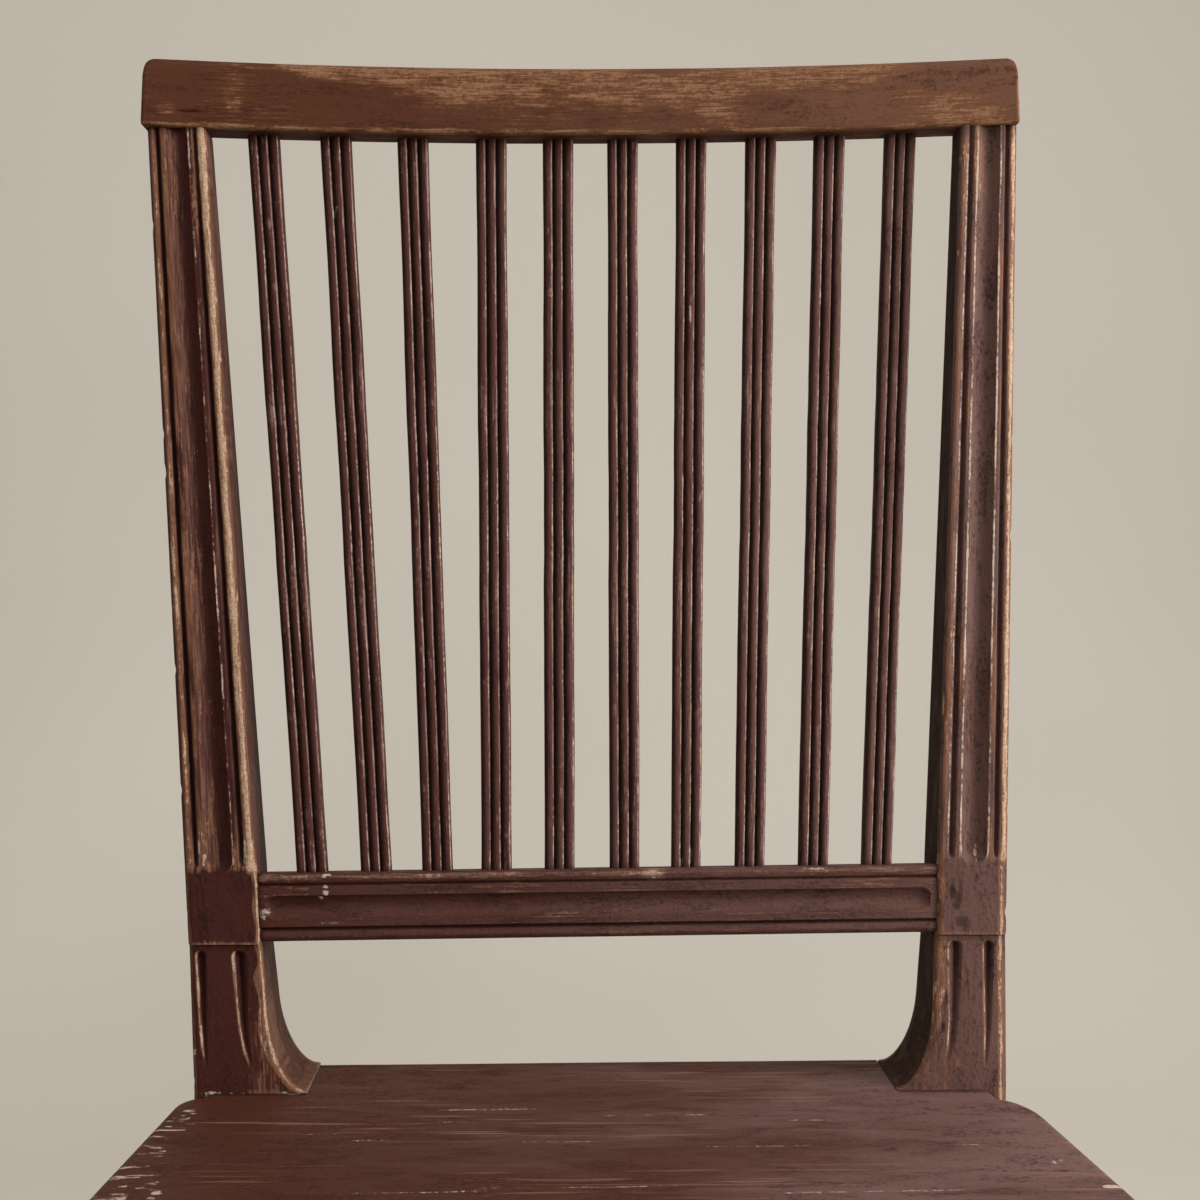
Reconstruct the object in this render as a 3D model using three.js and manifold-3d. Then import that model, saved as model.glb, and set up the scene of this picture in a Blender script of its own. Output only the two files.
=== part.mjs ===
import * as THREE from 'three';
import { mergeVertices } from 'three/addons/utils/BufferGeometryUtils.js';
import Module from 'manifold-3d';

const wasm = await Module();
wasm.setup();

// Country side chair in old painted pine: a raked back with ten reeded slats, a plank seat and square legs.
// Sizes are in millimetres. x runs to the right of someone who faces the chair, y from front to back, z up.
// Heights count from the top of the seat, and left and right are those of someone who faces the chair.
// The last lines move the origin to the floor, under the middle of the whole chair.

// The whole chair
const seatHeight = 435;
const crestTopHeight = 476.3;
const backRun = 71.7;             // how far the back leans to the rear at the crest's top
const backSideLean = 9.5;         // how far the old frame has racked to the left at the crest's top
const gap = 0.3;                  // left between pieces that touch
const overrun = 4;                // how far a cut or a root runs past the face it belongs to

// Back posts, each one length of wood from the crest to the floor
const postHalfSpanSeat = 180.6;   // from the middle of the back to a post's outer face
const postBlockSplay = 3;         // how far that face has moved out at the block
const postTopSplay = 27.5;        // and under the crest rail
const postTopWidth = 27.5;
const postBlockWidth = 32.3;
const postNeckWidth = 32.4;       // just under the block
const postShinWidth = 34.6;       // at the seat, without the flare
const postFlareWidth = 15.6;      // the bracket that runs out on to the seat
const postFlareHeight = 33;
const postTopDepth = 18.4;
const postBlockDepth = 27.8;
const postSeatDepth = 42.7;
const postArris = 3.8;            // worn round of the outer front edge
const postInnerArris = 2;
const postBackArris = 2.4;
const blockMiddleHeight = 81.2;
const blockHeight = 31.4;
const blockProud = 1.5;           // step from the block's face back to the post under it
const blockLipHeight = 1;

// Moulding on the upper posts: bead, groove, fillet, wide flute, fillet, groove, bead
const beadWidth = 4.4;
const grooveWidth = 2.8;
const filletWidth = 2.6;
const fluteWidth = 11.2;
const grooveDepth = 1.9;
const fluteDepth = 3.2;
const grooveStart = 2;            // where the grooves start above the block
const grooveRunOut = 5;

// Two tapering flutes under each block
const taperOuterHalf = 2.9;
const taperInnerHalf = 3.7;
const taperDepth = 2.8;
const taperTopMargin = 3;
const taperFootHeight = 11;
const taperRunOut = 3;
const taperLeftOuterShare = 0.17;      // the posts were marked by eye, so their flutes don't mirror each other
const taperLeftInnerShare = 0.687;
const taperRightOuterShare = 0.27;
const taperRightInnerShare = 0.735;
const taperPowerShare = 0.55;

// Rear legs, the lower ends of the posts
const legBlockTail = 6;           // how far the leg's block reaches under the seat rails
const rearLegWidth = 37;
const rearLegFlareHeight = 20;
const rearFootWidth = 27;
const rearFootDepth = 27;
const rearLegSweep = 42;          // how far the foot stands behind the rail block
const sweepPowerShare = 1.6;

// Crest rail
const crestOverhang = 1;          // its ends stand this far outside the posts
const crestHeight = 34.2;
const crestThickness = 20;
const crestBow = 17;              // the middle lies this far behind the ends
const crestProud = 3.2;           // its ends stand this far before the posts
const crestTilt = 6.8;            // the right end has worked up by this much over the left one
const crestTopRound = 6;
const crestCorner = 5;
const crestLowerArris = 1;

// Lower back rail
const railFaceHeight = 29.8;
const backRailThickness = 16;
const backRailRecess = 1.2;       // its face lies this far behind the blocks
const backRailTilt = 3.8;         // the right end sits this much higher than the left
const railBead = 4.3;
const railGroove = 2.4;
const railFillet = 3.5;
const railFlute = 10.2;
const railGrooveDepth = 1.7;
const railFluteDepth = 2.6;
const railFluteStop = 3;          // plain wood between the flute and the block
const railBeadArris = 2.2;

// Slats
const slatTopWidth = 14.9;
const slatFootWidth = 13.6;
const slatThickness = 8;
const reedDepth = 2.1;
const slatTopSetBack = 10.5;      // behind the crest's face
const slatFootSetBack = 4.6;      // behind the lower rail's face
const slatTenonLength = 9;
const slatTenonWidth = 9.5;
const slatTenonThickness = 4;
const slatTopShares = [0.069, 0.164, 0.267, 0.373, 0.464, 0.552, 0.646, 0.741, 0.834, 0.929];
const slatFootShares = [0.078, 0.172, 0.262, 0.349, 0.442, 0.538, 0.629, 0.724, 0.819, 0.914];

// Seat board
const boardThickness = 20;
const boardBack = 43.6;           // back edge, behind the posts' front faces
const boardBackSkew = 3.1;        // it is sawn out of square: further back on the right, less on the left
const boardFront = 372;           // front edge, before the posts' front faces
const boardRearOverhang = 3.7;    // outside the posts' outer faces
const boardSplay = 31.9;          // the front edge reaches this much further out than the rear one
const earLeftDrop = 10;           // the rear corners curve in to the posts' outer faces
const earLeftStart = 5;
const earLeftLength = 10;
const earRightDrop = 11.6;
const earRightStart = 12.5;
const earRightLength = 22;
const boardCorner = 24;
const boardTopRound = 4;
const boardLowerRound = 6;
const boardFrontBow = 7;
const boardSideOverhang = 6;
const boardFrontOverhang = 9;

// Seat rails
const seatRailHeight = 56;
const seatRailThickness = 22;
const seatRailRecess = 2;
const seatRailBead = 5;
const seatRailGroove = 2.6;
const seatRailGrooveDepth = 1.6;
const seatTenonLength = 21;
const seatTenonHeight = 40;
const seatTenonThickness = 8;

// Front legs
const legBlockSize = 46;
const legLip = 1.5;
const legTopSize = 39;
const legFootSize = 27;
const legArris = 2.2;
const legFluteHalf = 3.1;
const legFluteDepth = 2.6;
const legFluteFoot = 95;          // the flutes end this far above the floor
const legFluteShares = [0.3, 0.7];

// Stretchers
const stretcherHeight = 152;      // middle of the side stretchers above the floor
const stretcherTall = 27;
const stretcherThick = 18;
const stretcherArris = 2;
const crossTall = 24;
const crossThick = 17;
const crossPlaceShare = 0.5;
const stretcherTenonLength = 15;
const crossTenonLength = 11;
const stretcherTenonTall = 17;
const stretcherTenonThick = 8;

// Tenons of the back
const crestTenonLength = 19;
const crestTenonWidth = 15;
const crestTenonThickness = 8;
const railTenonLength = 17;
const railTenonHeight = 20;
const railTenonThickness = 7;

// Pegs and nails
const pegRadius = 3.2;
const pegProud = 0.4;
const crestPegLength = 15;
const backRailPegLength = 24.5;
const seatPegLength = 20;
const stretcherPegLength = 24;
const nailHeadRadius = 3;
const nailHeadThickness = 1.4;
const nailShankRadius = 1.5;
const nailLength = 44;
const nailSunk = 0.4;
const nailLeftInward = 6;         // the left row was driven this much nearer the middle
const nailSidePlaceShares = [0.125, 0.5, 0.855];
const nailAcrossPlaceShares = [0.24, 0.76];

// Where the sections of the long shapes lie, as shares of the run that each one divides
const legSectionShares = [0, 0.25, 0.5, 0.75];
const legFlareShares = [0.9, 0.5, 0.25, 0.08, 0];
const flareShares = [0.06, 0.2, 0.45, 1];
const taperFootShares = [0, 0.06];
const fluteEndShares = [0, 0.15, 0.5, 1];
const fluteShares = [-1, -0.6, -0.2, 0.2, 0.6, 1];
const flatShares = [1 / 7, 2 / 7, 3 / 7, 4 / 7, 5 / 7, 6 / 7];
const reedShares = [0, 0.25, 0.5, 0.75];
const crestSectionShares = [0, 0.2, 0.4, 0.6, 0.8];
const crestCornerShares = [0, 0.12, 0.45, 1];
const railEndShares = [0, 0.12, 0.45, 1];
const earShares = [0, 0.05, 0.2, 0.5, 1];
const boardFrontShares = [0.2, 0.4, 0.6, 0.8];
const legFluteEndShares = [0, 0.05, 0.2, 0.5];
const fluteEndWidthShare = 1 / 4;
const taperEndWidthShare = 1 / 8;
const frontBowPowerShare = 8;

const mouldingRun = 2 * (beadWidth + grooveWidth + filletWidth) + fluteWidth;
const railMouldingRun = 2 * (railBead + railGroove + railFillet) + railFlute;
const crestBase = crestTopHeight - crestHeight;
const crestHalfLength = postHalfSpanSeat + postTopSplay + crestOverhang;
const rakeSlope = backRun / crestTopHeight;
const boardRearHalf = postHalfSpanSeat + boardRearOverhang;
const boardFrontHalf = boardRearHalf + boardSplay;
const footingWidth = postShinWidth + postFlareWidth;
const railTop = -boardThickness - gap;
const railBase = railTop - seatRailHeight;
const legBlockEnd = railBase - legBlockTail;
const floor = -seatHeight;
const sides = [-1, 1];
const sideNames = new Map([[-1, 'left'], [1, 'right']]);

// Small helpers
const lerp = THREE.MathUtils.lerp;
const point = (x, y, z) => new THREE.Vector3(x, y, z);
const across = point(1, 0, 0);
const upward = point(0, 0, 1);
const backward = point(0, 1, 0);

// A hollow quarter round, one where it starts and zero where it has run out.
function cove(share) {
  if (share >= 1) return 0;
  return 1 - Math.sqrt(1 - (1 - share) ** 2);
}

// The round end of a flute or groove, zero at its end and one where it has its full section.
function roundEnd(share) {
  if (share <= 0) return 0;
  if (share >= 1) return 1;
  return Math.sqrt(1 - (1 - share) ** 2);
}

// Places in rising order, without those that nearly fall together.
function stations(places) {
  const rising = [...places].sort((a, b) => a - b);
  return rising.filter((place, index) => index === 0 || place - rising[index - 1] > gap / 2);
}

// Solids
function solidOf(points, faces) {
  const volume = faces.reduce((sum, [a, b, c]) => {
    const normal = points[b].clone().cross(points[c]);
    return sum + points[a].dot(normal);
  }, 0);
  const outward = volume > 0 ? faces : faces.map(([a, b, c]) => [a, c, b]);
  const vertProperties = new Float32Array(points.flatMap((place) => place.toArray()));
  const triVerts = new Uint32Array(outward.flat());
  return new wasm.Manifold(new wasm.Mesh({ numProp: 3, vertProperties, triVerts }));
}

// Joins rings of points into one closed solid, with a fan over each end.
function loft(rings) {
  const size = rings[0].length;
  const points = rings.flat();
  const faces = [];
  const first = points.length;
  const last = first + 1;
  const lastRing = (rings.length - 1) * size;
  for (const ring of [rings[0], rings[rings.length - 1]]) {
    const middle = point(0, 0, 0);
    ring.forEach((place) => middle.addScaledVector(place, 1 / size));
    points.push(middle);
  }
  for (let side = 0; side < size; side += 1) {
    const next = (side + 1) % size;
    faces.push([first, next, side], [last, lastRing + side, lastRing + next]);
    for (let start = 0; start < lastRing; start += size) {
      const a = start + side;
      const b = start + next;
      faces.push([a, b, b + size], [a, b + size, a + size]);
    }
  }
  return solidOf(points, faces);
}

function solidFrom(geometry) {
  geometry.deleteAttribute('normal');
  geometry.deleteAttribute('uv');
  const merged = mergeVertices(geometry);
  const place = merged.getAttribute('position');
  const points = [];
  for (let index = 0; index < place.count; index += 1) {
    points.push(new THREE.Vector3().fromBufferAttribute(place, index));
  }
  const faces = [];
  for (let corner = 0; corner < merged.index.count; corner += 3) {
    const [a, b, c] = merged.index.array.slice(corner, corner + 3);
    if (a !== b && b !== c && c !== a) faces.push([a, b, c]);
  }
  return solidOf(points, faces);
}

function shifted(rings, move) {
  return rings.map((ring) => ring.map((place) => place.clone().add(move)));
}

function block(low, high) {
  const size = high.clone().sub(low);
  const geometry = new THREE.BoxGeometry(size.x, size.y, size.z);
  geometry.translate(low.x + size.x / 2, low.y + size.y / 2, low.z + size.z / 2);
  return solidFrom(geometry);
}

// A square bar from start to end, with its width laid along the given direction.
function bar(start, end, widthwise, width, thickness) {
  const along = end.clone().sub(start);
  const length = along.length();
  along.normalize();
  const side = widthwise.clone().addScaledVector(along, -widthwise.dot(along)).normalize();
  const up = along.clone().cross(side);
  const geometry = new THREE.BoxGeometry(width, thickness, length);
  const place = new THREE.Matrix4().makeBasis(side, up, along);
  place.setPosition(start.clone().lerp(end, 1 / 2));
  geometry.applyMatrix4(place);
  return solidFrom(geometry);
}

function stretched(start, end, before, beyond) {
  const along = end.clone().sub(start).normalize();
  return [start.clone().addScaledVector(along, -before), end.clone().addScaledVector(along, beyond)];
}

// A tenon is given from the shoulder to its end. Its root runs back into its own piece.
function tenonSolid(tenon) {
  const [start, end] = stretched(tenon.start, tenon.end, overrun, 0);
  return bar(start, end, tenon.widthwise, tenon.width, tenon.thickness);
}

function mortiseSolid(tenon) {
  const [start, end] = stretched(tenon.start, tenon.end, overrun, gap);
  return bar(start, end, tenon.widthwise, tenon.width + 2 * gap, tenon.thickness + 2 * gap);
}

// A round bar between two points: a peg, or the hole it sits in.
function roundBar(start, end, radius) {
  const along = end.clone().sub(start);
  const geometry = new THREE.CylinderGeometry(radius, radius, along.length(), 8);
  const turn = new THREE.Quaternion().setFromUnitVectors(backward, along.clone().normalize());
  geometry.applyQuaternion(turn);
  const middle = start.clone().lerp(end, 1 / 2);
  geometry.translate(middle.x, middle.y, middle.z);
  return solidFrom(geometry);
}

// A peg is given by the face it enters, its direction into the wood and its length.
function peg(face, inward, length) {
  const start = face.clone().addScaledVector(inward, -pegProud);
  const end = face.clone().addScaledVector(inward, length);
  return { start, end };
}

function pegSolid(place) {
  return roundBar(place.start, place.end, pegRadius);
}

function pegHole(place) {
  const [start, end] = stretched(place.start, place.end, overrun, gap);
  return roundBar(start, end, pegRadius + gap);
}

function joined(solids) {
  return solids.reduce((whole, solid) => whole.add(solid));
}

function cut(solid, tools) {
  return tools.reduce((rest, tool) => rest.subtract(tool), solid);
}

// Outlines of moulded faces, as places across the face and depths under it
function groove(middle, half, depth) {
  return [[middle - half, 0], [middle, depth], [middle + half, 0]];
}

function flute(middle, half, depth) {
  return fluteShares.map((share) => [middle + half * share, depth * (1 - share ** 2)]);
}

function arris(radius) {
  return [0, 1, 2, 3].map((step) => {
    const turn = (step * Math.PI) / 6;
    return [radius * (1 - Math.cos(turn)), radius * (1 - Math.sin(turn))];
  });
}

function arrisBack(width, radius) {
  return arris(radius).reverse().map(([place, depth]) => [width - place, depth]);
}

// Back posts
function blockBase(side) {
  return blockMiddleHeight + (side * backRailTilt) / 2 - blockHeight / 2;
}

function frontPlane(height) {
  if (height >= 0) return height * rakeSlope;
  const fall = (legBlockEnd - height) / (legBlockEnd - floor);
  return fall > 0 ? rearLegSweep * fall ** sweepPowerShare : 0;
}

function sideLean(height) {
  return height > 0 ? (-height * backSideLean) / crestTopHeight : 0;
}

function halfSpan(side, height) {
  const knee = blockBase(side);
  if (height <= 0) return postHalfSpanSeat;
  if (height < knee) return postHalfSpanSeat + (postBlockSplay * height) / knee;
  return postHalfSpanSeat + lerp(postBlockSplay, postTopSplay, (height - knee) / (crestBase - knee));
}

function postWidth(side, height) {
  const base = blockBase(side);
  const top = base + blockHeight;
  if (height >= top) return lerp(postBlockWidth, postTopWidth, (height - top) / (crestBase - top));
  if (height >= base) return postBlockWidth;
  if (height >= 0) {
    return lerp(postShinWidth, postNeckWidth, height / base) + postFlareWidth * cove(height / postFlareHeight);
  }
  if (height >= legBlockEnd) return footingWidth;
  const fall = (legBlockEnd - height) / (legBlockEnd - floor);
  const flare = cove((legBlockEnd - height) / rearLegFlareHeight);
  return lerp(rearLegWidth, rearFootWidth, fall) + (footingWidth - rearLegWidth) * flare;
}

function postDepth(height) {
  const rise = (height - blockMiddleHeight) / (crestBase - blockMiddleHeight);
  if (rise >= 0) return lerp(postBlockDepth, postTopDepth, rise);
  if (height >= 0) return lerp(postSeatDepth, postBlockDepth, height / blockMiddleHeight);
  if (height >= legBlockEnd) return postSeatDepth;
  return lerp(postSeatDepth, rearFootDepth, (legBlockEnd - height) / (legBlockEnd - floor));
}

function postProud(side, height) {
  return height >= blockBase(side) ? blockProud : 0;
}

// The moulded face above the block: places follow the post's width, and every cut starts round at its foot.
function upperCuts(side, height, width) {
  const scale = width / mouldingRun;
  const start = blockBase(side) + blockHeight;
  const grooved = roundEnd((height - start - grooveStart) / grooveRunOut);
  const fluted = roundEnd((height - start) / (fluteWidth / 2));
  const grooveMiddle = (beadWidth + grooveWidth / 2) * scale;
  const grooveHalf = (grooveWidth / 2) * scale * lerp(fluteEndWidthShare, 1, grooved);
  const fluteHalf = (fluteWidth / 2) * scale * lerp(fluteEndWidthShare, 1, fluted);
  return [
    ...groove(grooveMiddle, grooveHalf, grooveDepth * grooved),
    ...flute(width / 2, fluteHalf, fluteDepth * fluted),
    ...groove(width - grooveMiddle, grooveHalf, grooveDepth * grooved),
  ];
}

// The plain face under the block, with two flutes that taper to points.
function lowerCuts(side, height, width) {
  const top = blockBase(side) - taperTopMargin;
  const rise = THREE.MathUtils.clamp((height - taperFootHeight) / (top - taperFootHeight), 0, 1);
  const open = rise ** taperPowerShare * roundEnd((top - height) / taperRunOut);
  const outerHalf = taperOuterHalf * lerp(taperEndWidthShare, 1, open);
  const innerHalf = taperInnerHalf * lerp(taperEndWidthShare, 1, open);
  const outerShare = side < 0 ? taperLeftOuterShare : taperRightOuterShare;
  const innerShare = side < 0 ? taperLeftInnerShare : taperRightInnerShare;
  const outer = groove(outerShare * width, outerHalf, taperDepth * open);
  const inner = groove(innerShare * width, innerHalf, taperDepth * open);
  const [flatStart] = outer[2];
  const [flatEnd] = inner[0];
  const flat = flatShares.map((share) => [lerp(flatStart, flatEnd, share), 0]);
  return [...outer, ...flat, ...inner];
}

function postRing(side, height) {
  const width = postWidth(side, height);
  const depth = postDepth(height) + postProud(side, height);
  const cuts = height >= blockBase(side) ? upperCuts(side, height, width) : lowerCuts(side, height, width);
  const columns = [
    [0, depth - postBackArris],
    ...arris(postArris),
    ...cuts,
    ...arrisBack(width, postInnerArris),
    [width, depth - postBackArris],
    [width - postBackArris, depth],
    [postBackArris, depth],
  ];
  const outside = halfSpan(side, height);
  const face = frontPlane(height) - postProud(side, height);
  return columns.map(([place, deep]) => {
    return point(sideLean(height) + side * (outside - place), face + deep, height);
  });
}

function postHeights(side) {
  const base = blockBase(side);
  const top = base + blockHeight;
  const taperTop = base - taperTopMargin;
  return stations([
    ...legSectionShares.map((share) => lerp(floor, legBlockEnd, share)),
    ...legFlareShares.map((share) => legBlockEnd - rearLegFlareHeight * share),
    0,
    ...flareShares.map((share) => postFlareHeight * share),
    ...taperFootShares.map((share) => lerp(taperFootHeight, taperTop, share)),
    taperTop - taperRunOut,
    taperTop,
    base - blockLipHeight,
    base,
    ...fluteEndShares.map((share) => top + (share * fluteWidth) / 2),
    top + grooveStart,
    top + grooveStart + grooveRunOut,
    crestBase + crestTilt,
  ]);
}

function postRings(side) {
  return postHeights(side).map((height) => postRing(side, height));
}

function postMiddle(side, height) {
  const place = halfSpan(side, height) - postWidth(side, height) / 2;
  return point(sideLean(height) + side * place, frontPlane(height) + postDepth(height) / 2, height);
}

// Crest rail
function crestLift(x) {
  return (x / crestHalfLength) * (crestTilt / 2);
}

function crestFace(x, height) {
  const share = (x - sideLean(crestBase)) / crestHalfLength;
  return frontPlane(height) - blockProud - crestProud + crestBow * (1 - share ** 2);
}

function crestRing(share) {
  const x = sideLean(crestTopHeight) + crestHalfLength * share;
  const fromEnd = crestHalfLength * (1 - Math.abs(share));
  const lift = crestLift(x);
  const top = crestTopHeight - crestCorner * cove(fromEnd / crestCorner);
  const outline = [
    [crestLowerArris, crestBase],
    [0, crestBase + crestLowerArris],
    ...arris(crestTopRound).map(([drop, deep]) => [drop, top - deep]),
    ...arrisBack(crestThickness, crestTopRound).map(([deep, drop]) => [deep, top - drop]),
    [crestThickness, crestBase],
  ];
  return outline.map(([deep, height]) => point(x, crestFace(x, height + lift) + deep, height + lift));
}

function crestRings() {
  const corner = crestCornerShares.map((share) => crestHalfLength - share * crestCorner);
  const half = [...crestSectionShares.map((share) => share * crestHalfLength), ...corner];
  const places = stations([...half, ...half.map((place) => -place)]);
  return places.map((place) => crestRing(place / crestHalfLength));
}

// Everything above the level at which posts and slats end under the crest rail.
function spaceAboveSlats() {
  const reach = crestHalfLength + crestThickness;
  return loft([-reach, reach].map((x) => {
    const low = crestBase + crestLift(x) - gap;
    return [
      point(x, -crestThickness, low),
      point(x, backRun + 2 * crestThickness, low),
      point(x, backRun + 2 * crestThickness, crestTopHeight + crestHeight),
      point(x, -crestThickness, crestTopHeight + crestHeight),
    ];
  }));
}

// Lower back rail
function innerFace(side, height) {
  return sideLean(height) + side * (halfSpan(side, height) - postBlockWidth);
}

function railShift(share) {
  return backRailTilt * (share - 1 / 2);
}

function railColumns(fromEnd) {
  const scale = railFaceHeight / railMouldingRun;
  const open = roundEnd((fromEnd - railFluteStop) / (railFlute / 2));
  const grooveMiddle = (railBead + railGroove / 2) * scale;
  const grooveHalf = (railGroove / 2) * scale;
  const fluteHalf = (railFlute / 2) * scale * lerp(fluteEndWidthShare, 1, open);
  return [
    [0, backRailThickness],
    ...arris(railBeadArris),
    ...groove(grooveMiddle, grooveHalf, railGrooveDepth),
    ...flute(railFaceHeight / 2, fluteHalf, railFluteDepth * open),
    ...groove(railFaceHeight - grooveMiddle, grooveHalf, railGrooveDepth),
    ...arrisBack(railFaceHeight, railBeadArris),
    [railFaceHeight, backRailThickness],
  ];
}

function backRailRing(share, fromEnd) {
  return railColumns(fromEnd).map(([down, deep]) => {
    const height = blockMiddleHeight + railFaceHeight / 2 - down;
    const level = height - rakeSlope * deep;
    const left = innerFace(-1, level - backRailTilt / 2) + gap;
    const right = innerFace(1, level + backRailTilt / 2) - gap;
    const face = frontPlane(height) - blockProud + backRailRecess;
    return point(lerp(left, right, share), face + deep, level + railShift(share));
  });
}

function backRailRings() {
  const span = innerFace(1, blockMiddleHeight) - innerFace(-1, blockMiddleHeight);
  const ends = railEndShares.map((share) => railFluteStop + (share * railFlute) / 2);
  const places = stations([0, ...ends, span / 2, ...ends.map((end) => span - end), span]);
  return places.map((place) => backRailRing(place / span, Math.min(place, span - place)));
}

function openingAt(height) {
  return [innerFace(-1, height), innerFace(1, height)];
}

function upperOpening(height) {
  return sides.map((side) => sideLean(height) + side * (halfSpan(side, height) - postWidth(side, height)));
}

// Height of the lower rail's top at a place across the back.
function railTopAt(x) {
  const [left, right] = openingAt(blockMiddleHeight);
  return blockMiddleHeight + railFaceHeight / 2 + railShift((x - left) / (right - left));
}

// Everything under the level at which the slats end on the lower rail. Its top is square to the rail's face.
function spaceUnderSlats() {
  const front = frontPlane(blockMiddleHeight + railFaceHeight / 2) - blockProud + backRailRecess;
  const rear = front + 2 * backRailThickness;
  return loft(sides.map((side) => {
    const x = side * crestHalfLength;
    const top = railTopAt(x) + gap;
    return [
      point(x, front - overrun, top + rakeSlope * overrun),
      point(x, rear, top - rakeSlope * (rear - front)),
      point(x, rear, 0),
      point(x, front - overrun, 0),
    ];
  }));
}

// Slats
function slatEnds(index) {
  const [topLeft, topRight] = upperOpening(crestBase);
  const [footLeft, footRight] = openingAt(blockMiddleHeight + railFaceHeight / 2);
  const topX = lerp(topLeft, topRight, slatTopShares[index]);
  const footX = lerp(footLeft, footRight, slatFootShares[index]);
  const footHeight = railTopAt(footX) - rakeSlope * slatFootSetBack;
  const footFace = frontPlane(footHeight) - blockProud + backRailRecess + slatFootSetBack;
  const topHeight = crestBase + crestLift(topX);
  const top = point(topX, crestFace(topX, topHeight) + slatTopSetBack, topHeight);
  return { top, foot: point(footX, footFace, footHeight) };
}

// The whole outline grows with the width, so every face of a slat stays flat from end to end.
function reededOutline(width) {
  const reed = width / 3;
  const size = width / slatTopWidth;
  const front = [0, 1, 2].flatMap((number) => reedShares.map((share) => {
    const round = roundEnd(1 - Math.abs(2 * share - 1));
    return [number * reed + share * reed - width / 2, size * reedDepth * (1 - round)];
  }));
  return [
    [-width / 2, size * slatThickness],
    ...front,
    [width / 2, size * reedDepth],
    [width / 2, size * slatThickness],
  ];
}

function slatRing(middle, width) {
  return reededOutline(width).map(([place, deep]) => point(middle.x + place, middle.y + deep, middle.z));
}

function slatTenon(shoulder, along) {
  const start = shoulder.clone();
  start.y += (slatThickness + reedDepth) / 2;
  const end = start.clone().addScaledVector(along, slatTenonLength);
  return { start, end, widthwise: across, width: slatTenonWidth, thickness: slatTenonThickness };
}

const slats = slatTopShares.map((share, index) => {
  const { top, foot } = slatEnds(index);
  const along = top.clone().sub(foot).normalize();
  const topTenon = slatTenon(top, along);
  const footTenon = slatTenon(foot, along.clone().negate());
  return { top, foot, topTenon, footTenon };
});

function slatSolid(slat) {
  const [foot, top] = stretched(slat.foot, slat.top, overrun, overrun);
  const bars = loft([slatRing(foot, slatFootWidth), slatRing(top, slatTopWidth)]);
  const body = cut(bars, [spaceAboveSlats(), spaceUnderSlats()]);
  return joined([body, tenonSolid(slat.topTenon), tenonSolid(slat.footTenon)]);
}

// Seat board
function boardEdge(y) {
  return lerp(boardRearHalf, boardFrontHalf, -y / boardFront);
}

function boardSidePoints(side, inset) {
  const drop = side < 0 ? earLeftDrop : earRightDrop;
  const start = side < 0 ? earLeftStart : earRightStart;
  const length = side < 0 ? earLeftLength : earRightLength;
  const ear = earShares.map((share) => {
    const y = -start - share * length;
    return [boardEdge(y) - drop * cove(share) - inset, y];
  });
  const corner = arris(boardCorner).map(([aside, ahead]) => {
    const y = ahead - boardFront + inset;
    return [boardEdge(y) - aside - inset, y];
  });
  const rear = boardEdge(0) - drop - inset;
  const back = [[rear, boardBack + (side * boardBackSkew * rear) / boardRearHalf - inset]];
  return [...back, ...ear, ...corner].map(([x, y]) => [side * x, y]);
}

function boardRing(inset, height) {
  const left = boardSidePoints(-1, inset);
  const right = boardSidePoints(1, inset).reverse();
  const [leftEnd] = left[left.length - 1];
  const [rightEnd] = right[0];
  const front = boardFrontShares.map((share) => [lerp(leftEnd, rightEnd, share), inset - boardFront]);
  return [...left, ...front, ...right].map(([x, y]) => {
    const aside = x / boardFrontHalf;
    const ahead = THREE.MathUtils.clamp(-y / boardFront, 0, 1);
    return point(x, y + boardFrontBow * aside ** 2 * ahead ** frontBowPowerShare, height);
  });
}

function boardRings() {
  const top = arris(boardTopRound).reverse().map(([inset, down]) => boardRing(inset, -down));
  const foot = arris(boardLowerRound).map(([inset, up]) => boardRing(inset, up - boardThickness));
  return [...top, ...foot];
}

function boardNotch(side) {
  const inner = side * (postHalfSpanSeat - footingWidth - gap);
  const outer = side * (boardRearHalf + overrun);
  const low = point(Math.min(inner, outer), -gap, -boardThickness - overrun);
  const high = point(Math.max(inner, outer), boardBack + boardBackSkew + overrun, overrun);
  return block(low, high);
}

// Front legs
const legFront = boardFrontBow + boardFrontOverhang - boardFront;
const legRear = legFront + legBlockSize;

function legOuter(side) {
  return side * (boardEdge(legFront) - boardSideOverhang);
}

function legSize(height) {
  if (height >= legBlockEnd) return legBlockSize;
  return lerp(legTopSize, legFootSize, (legBlockEnd - height) / (legBlockEnd - floor));
}

function legFluteOpen(height) {
  const top = legBlockEnd - taperTopMargin;
  const foot = floor + legFluteFoot;
  const rise = THREE.MathUtils.clamp((height - foot) / (top - foot), 0, 1);
  return rise ** taperPowerShare * roundEnd((top - height) / taperRunOut);
}

function legRing(side, height) {
  const size = legSize(height);
  const open = height < legBlockEnd ? legFluteOpen(height) : 0;
  const lip = height < legBlockEnd ? legLip : 0;
  const flutes = legFluteShares.flatMap((share) => {
    return groove(share * size, legFluteHalf * lerp(taperEndWidthShare, 1, open), legFluteDepth * open);
  });
  const columns = [
    [legArris, 0],
    ...flutes,
    [size - legArris, 0],
    [size, legArris],
    [size, size - legArris],
    [size - legArris, size],
    [legArris, size],
    [0, size - legArris],
    ...flutes.map(([place, deep]) => [deep, place]).reverse(),
    [0, legArris],
  ];
  return columns.map(([aside, behind]) => {
    return point(legOuter(side) - side * (lip + aside), legFront + lip + behind, height);
  });
}

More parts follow.
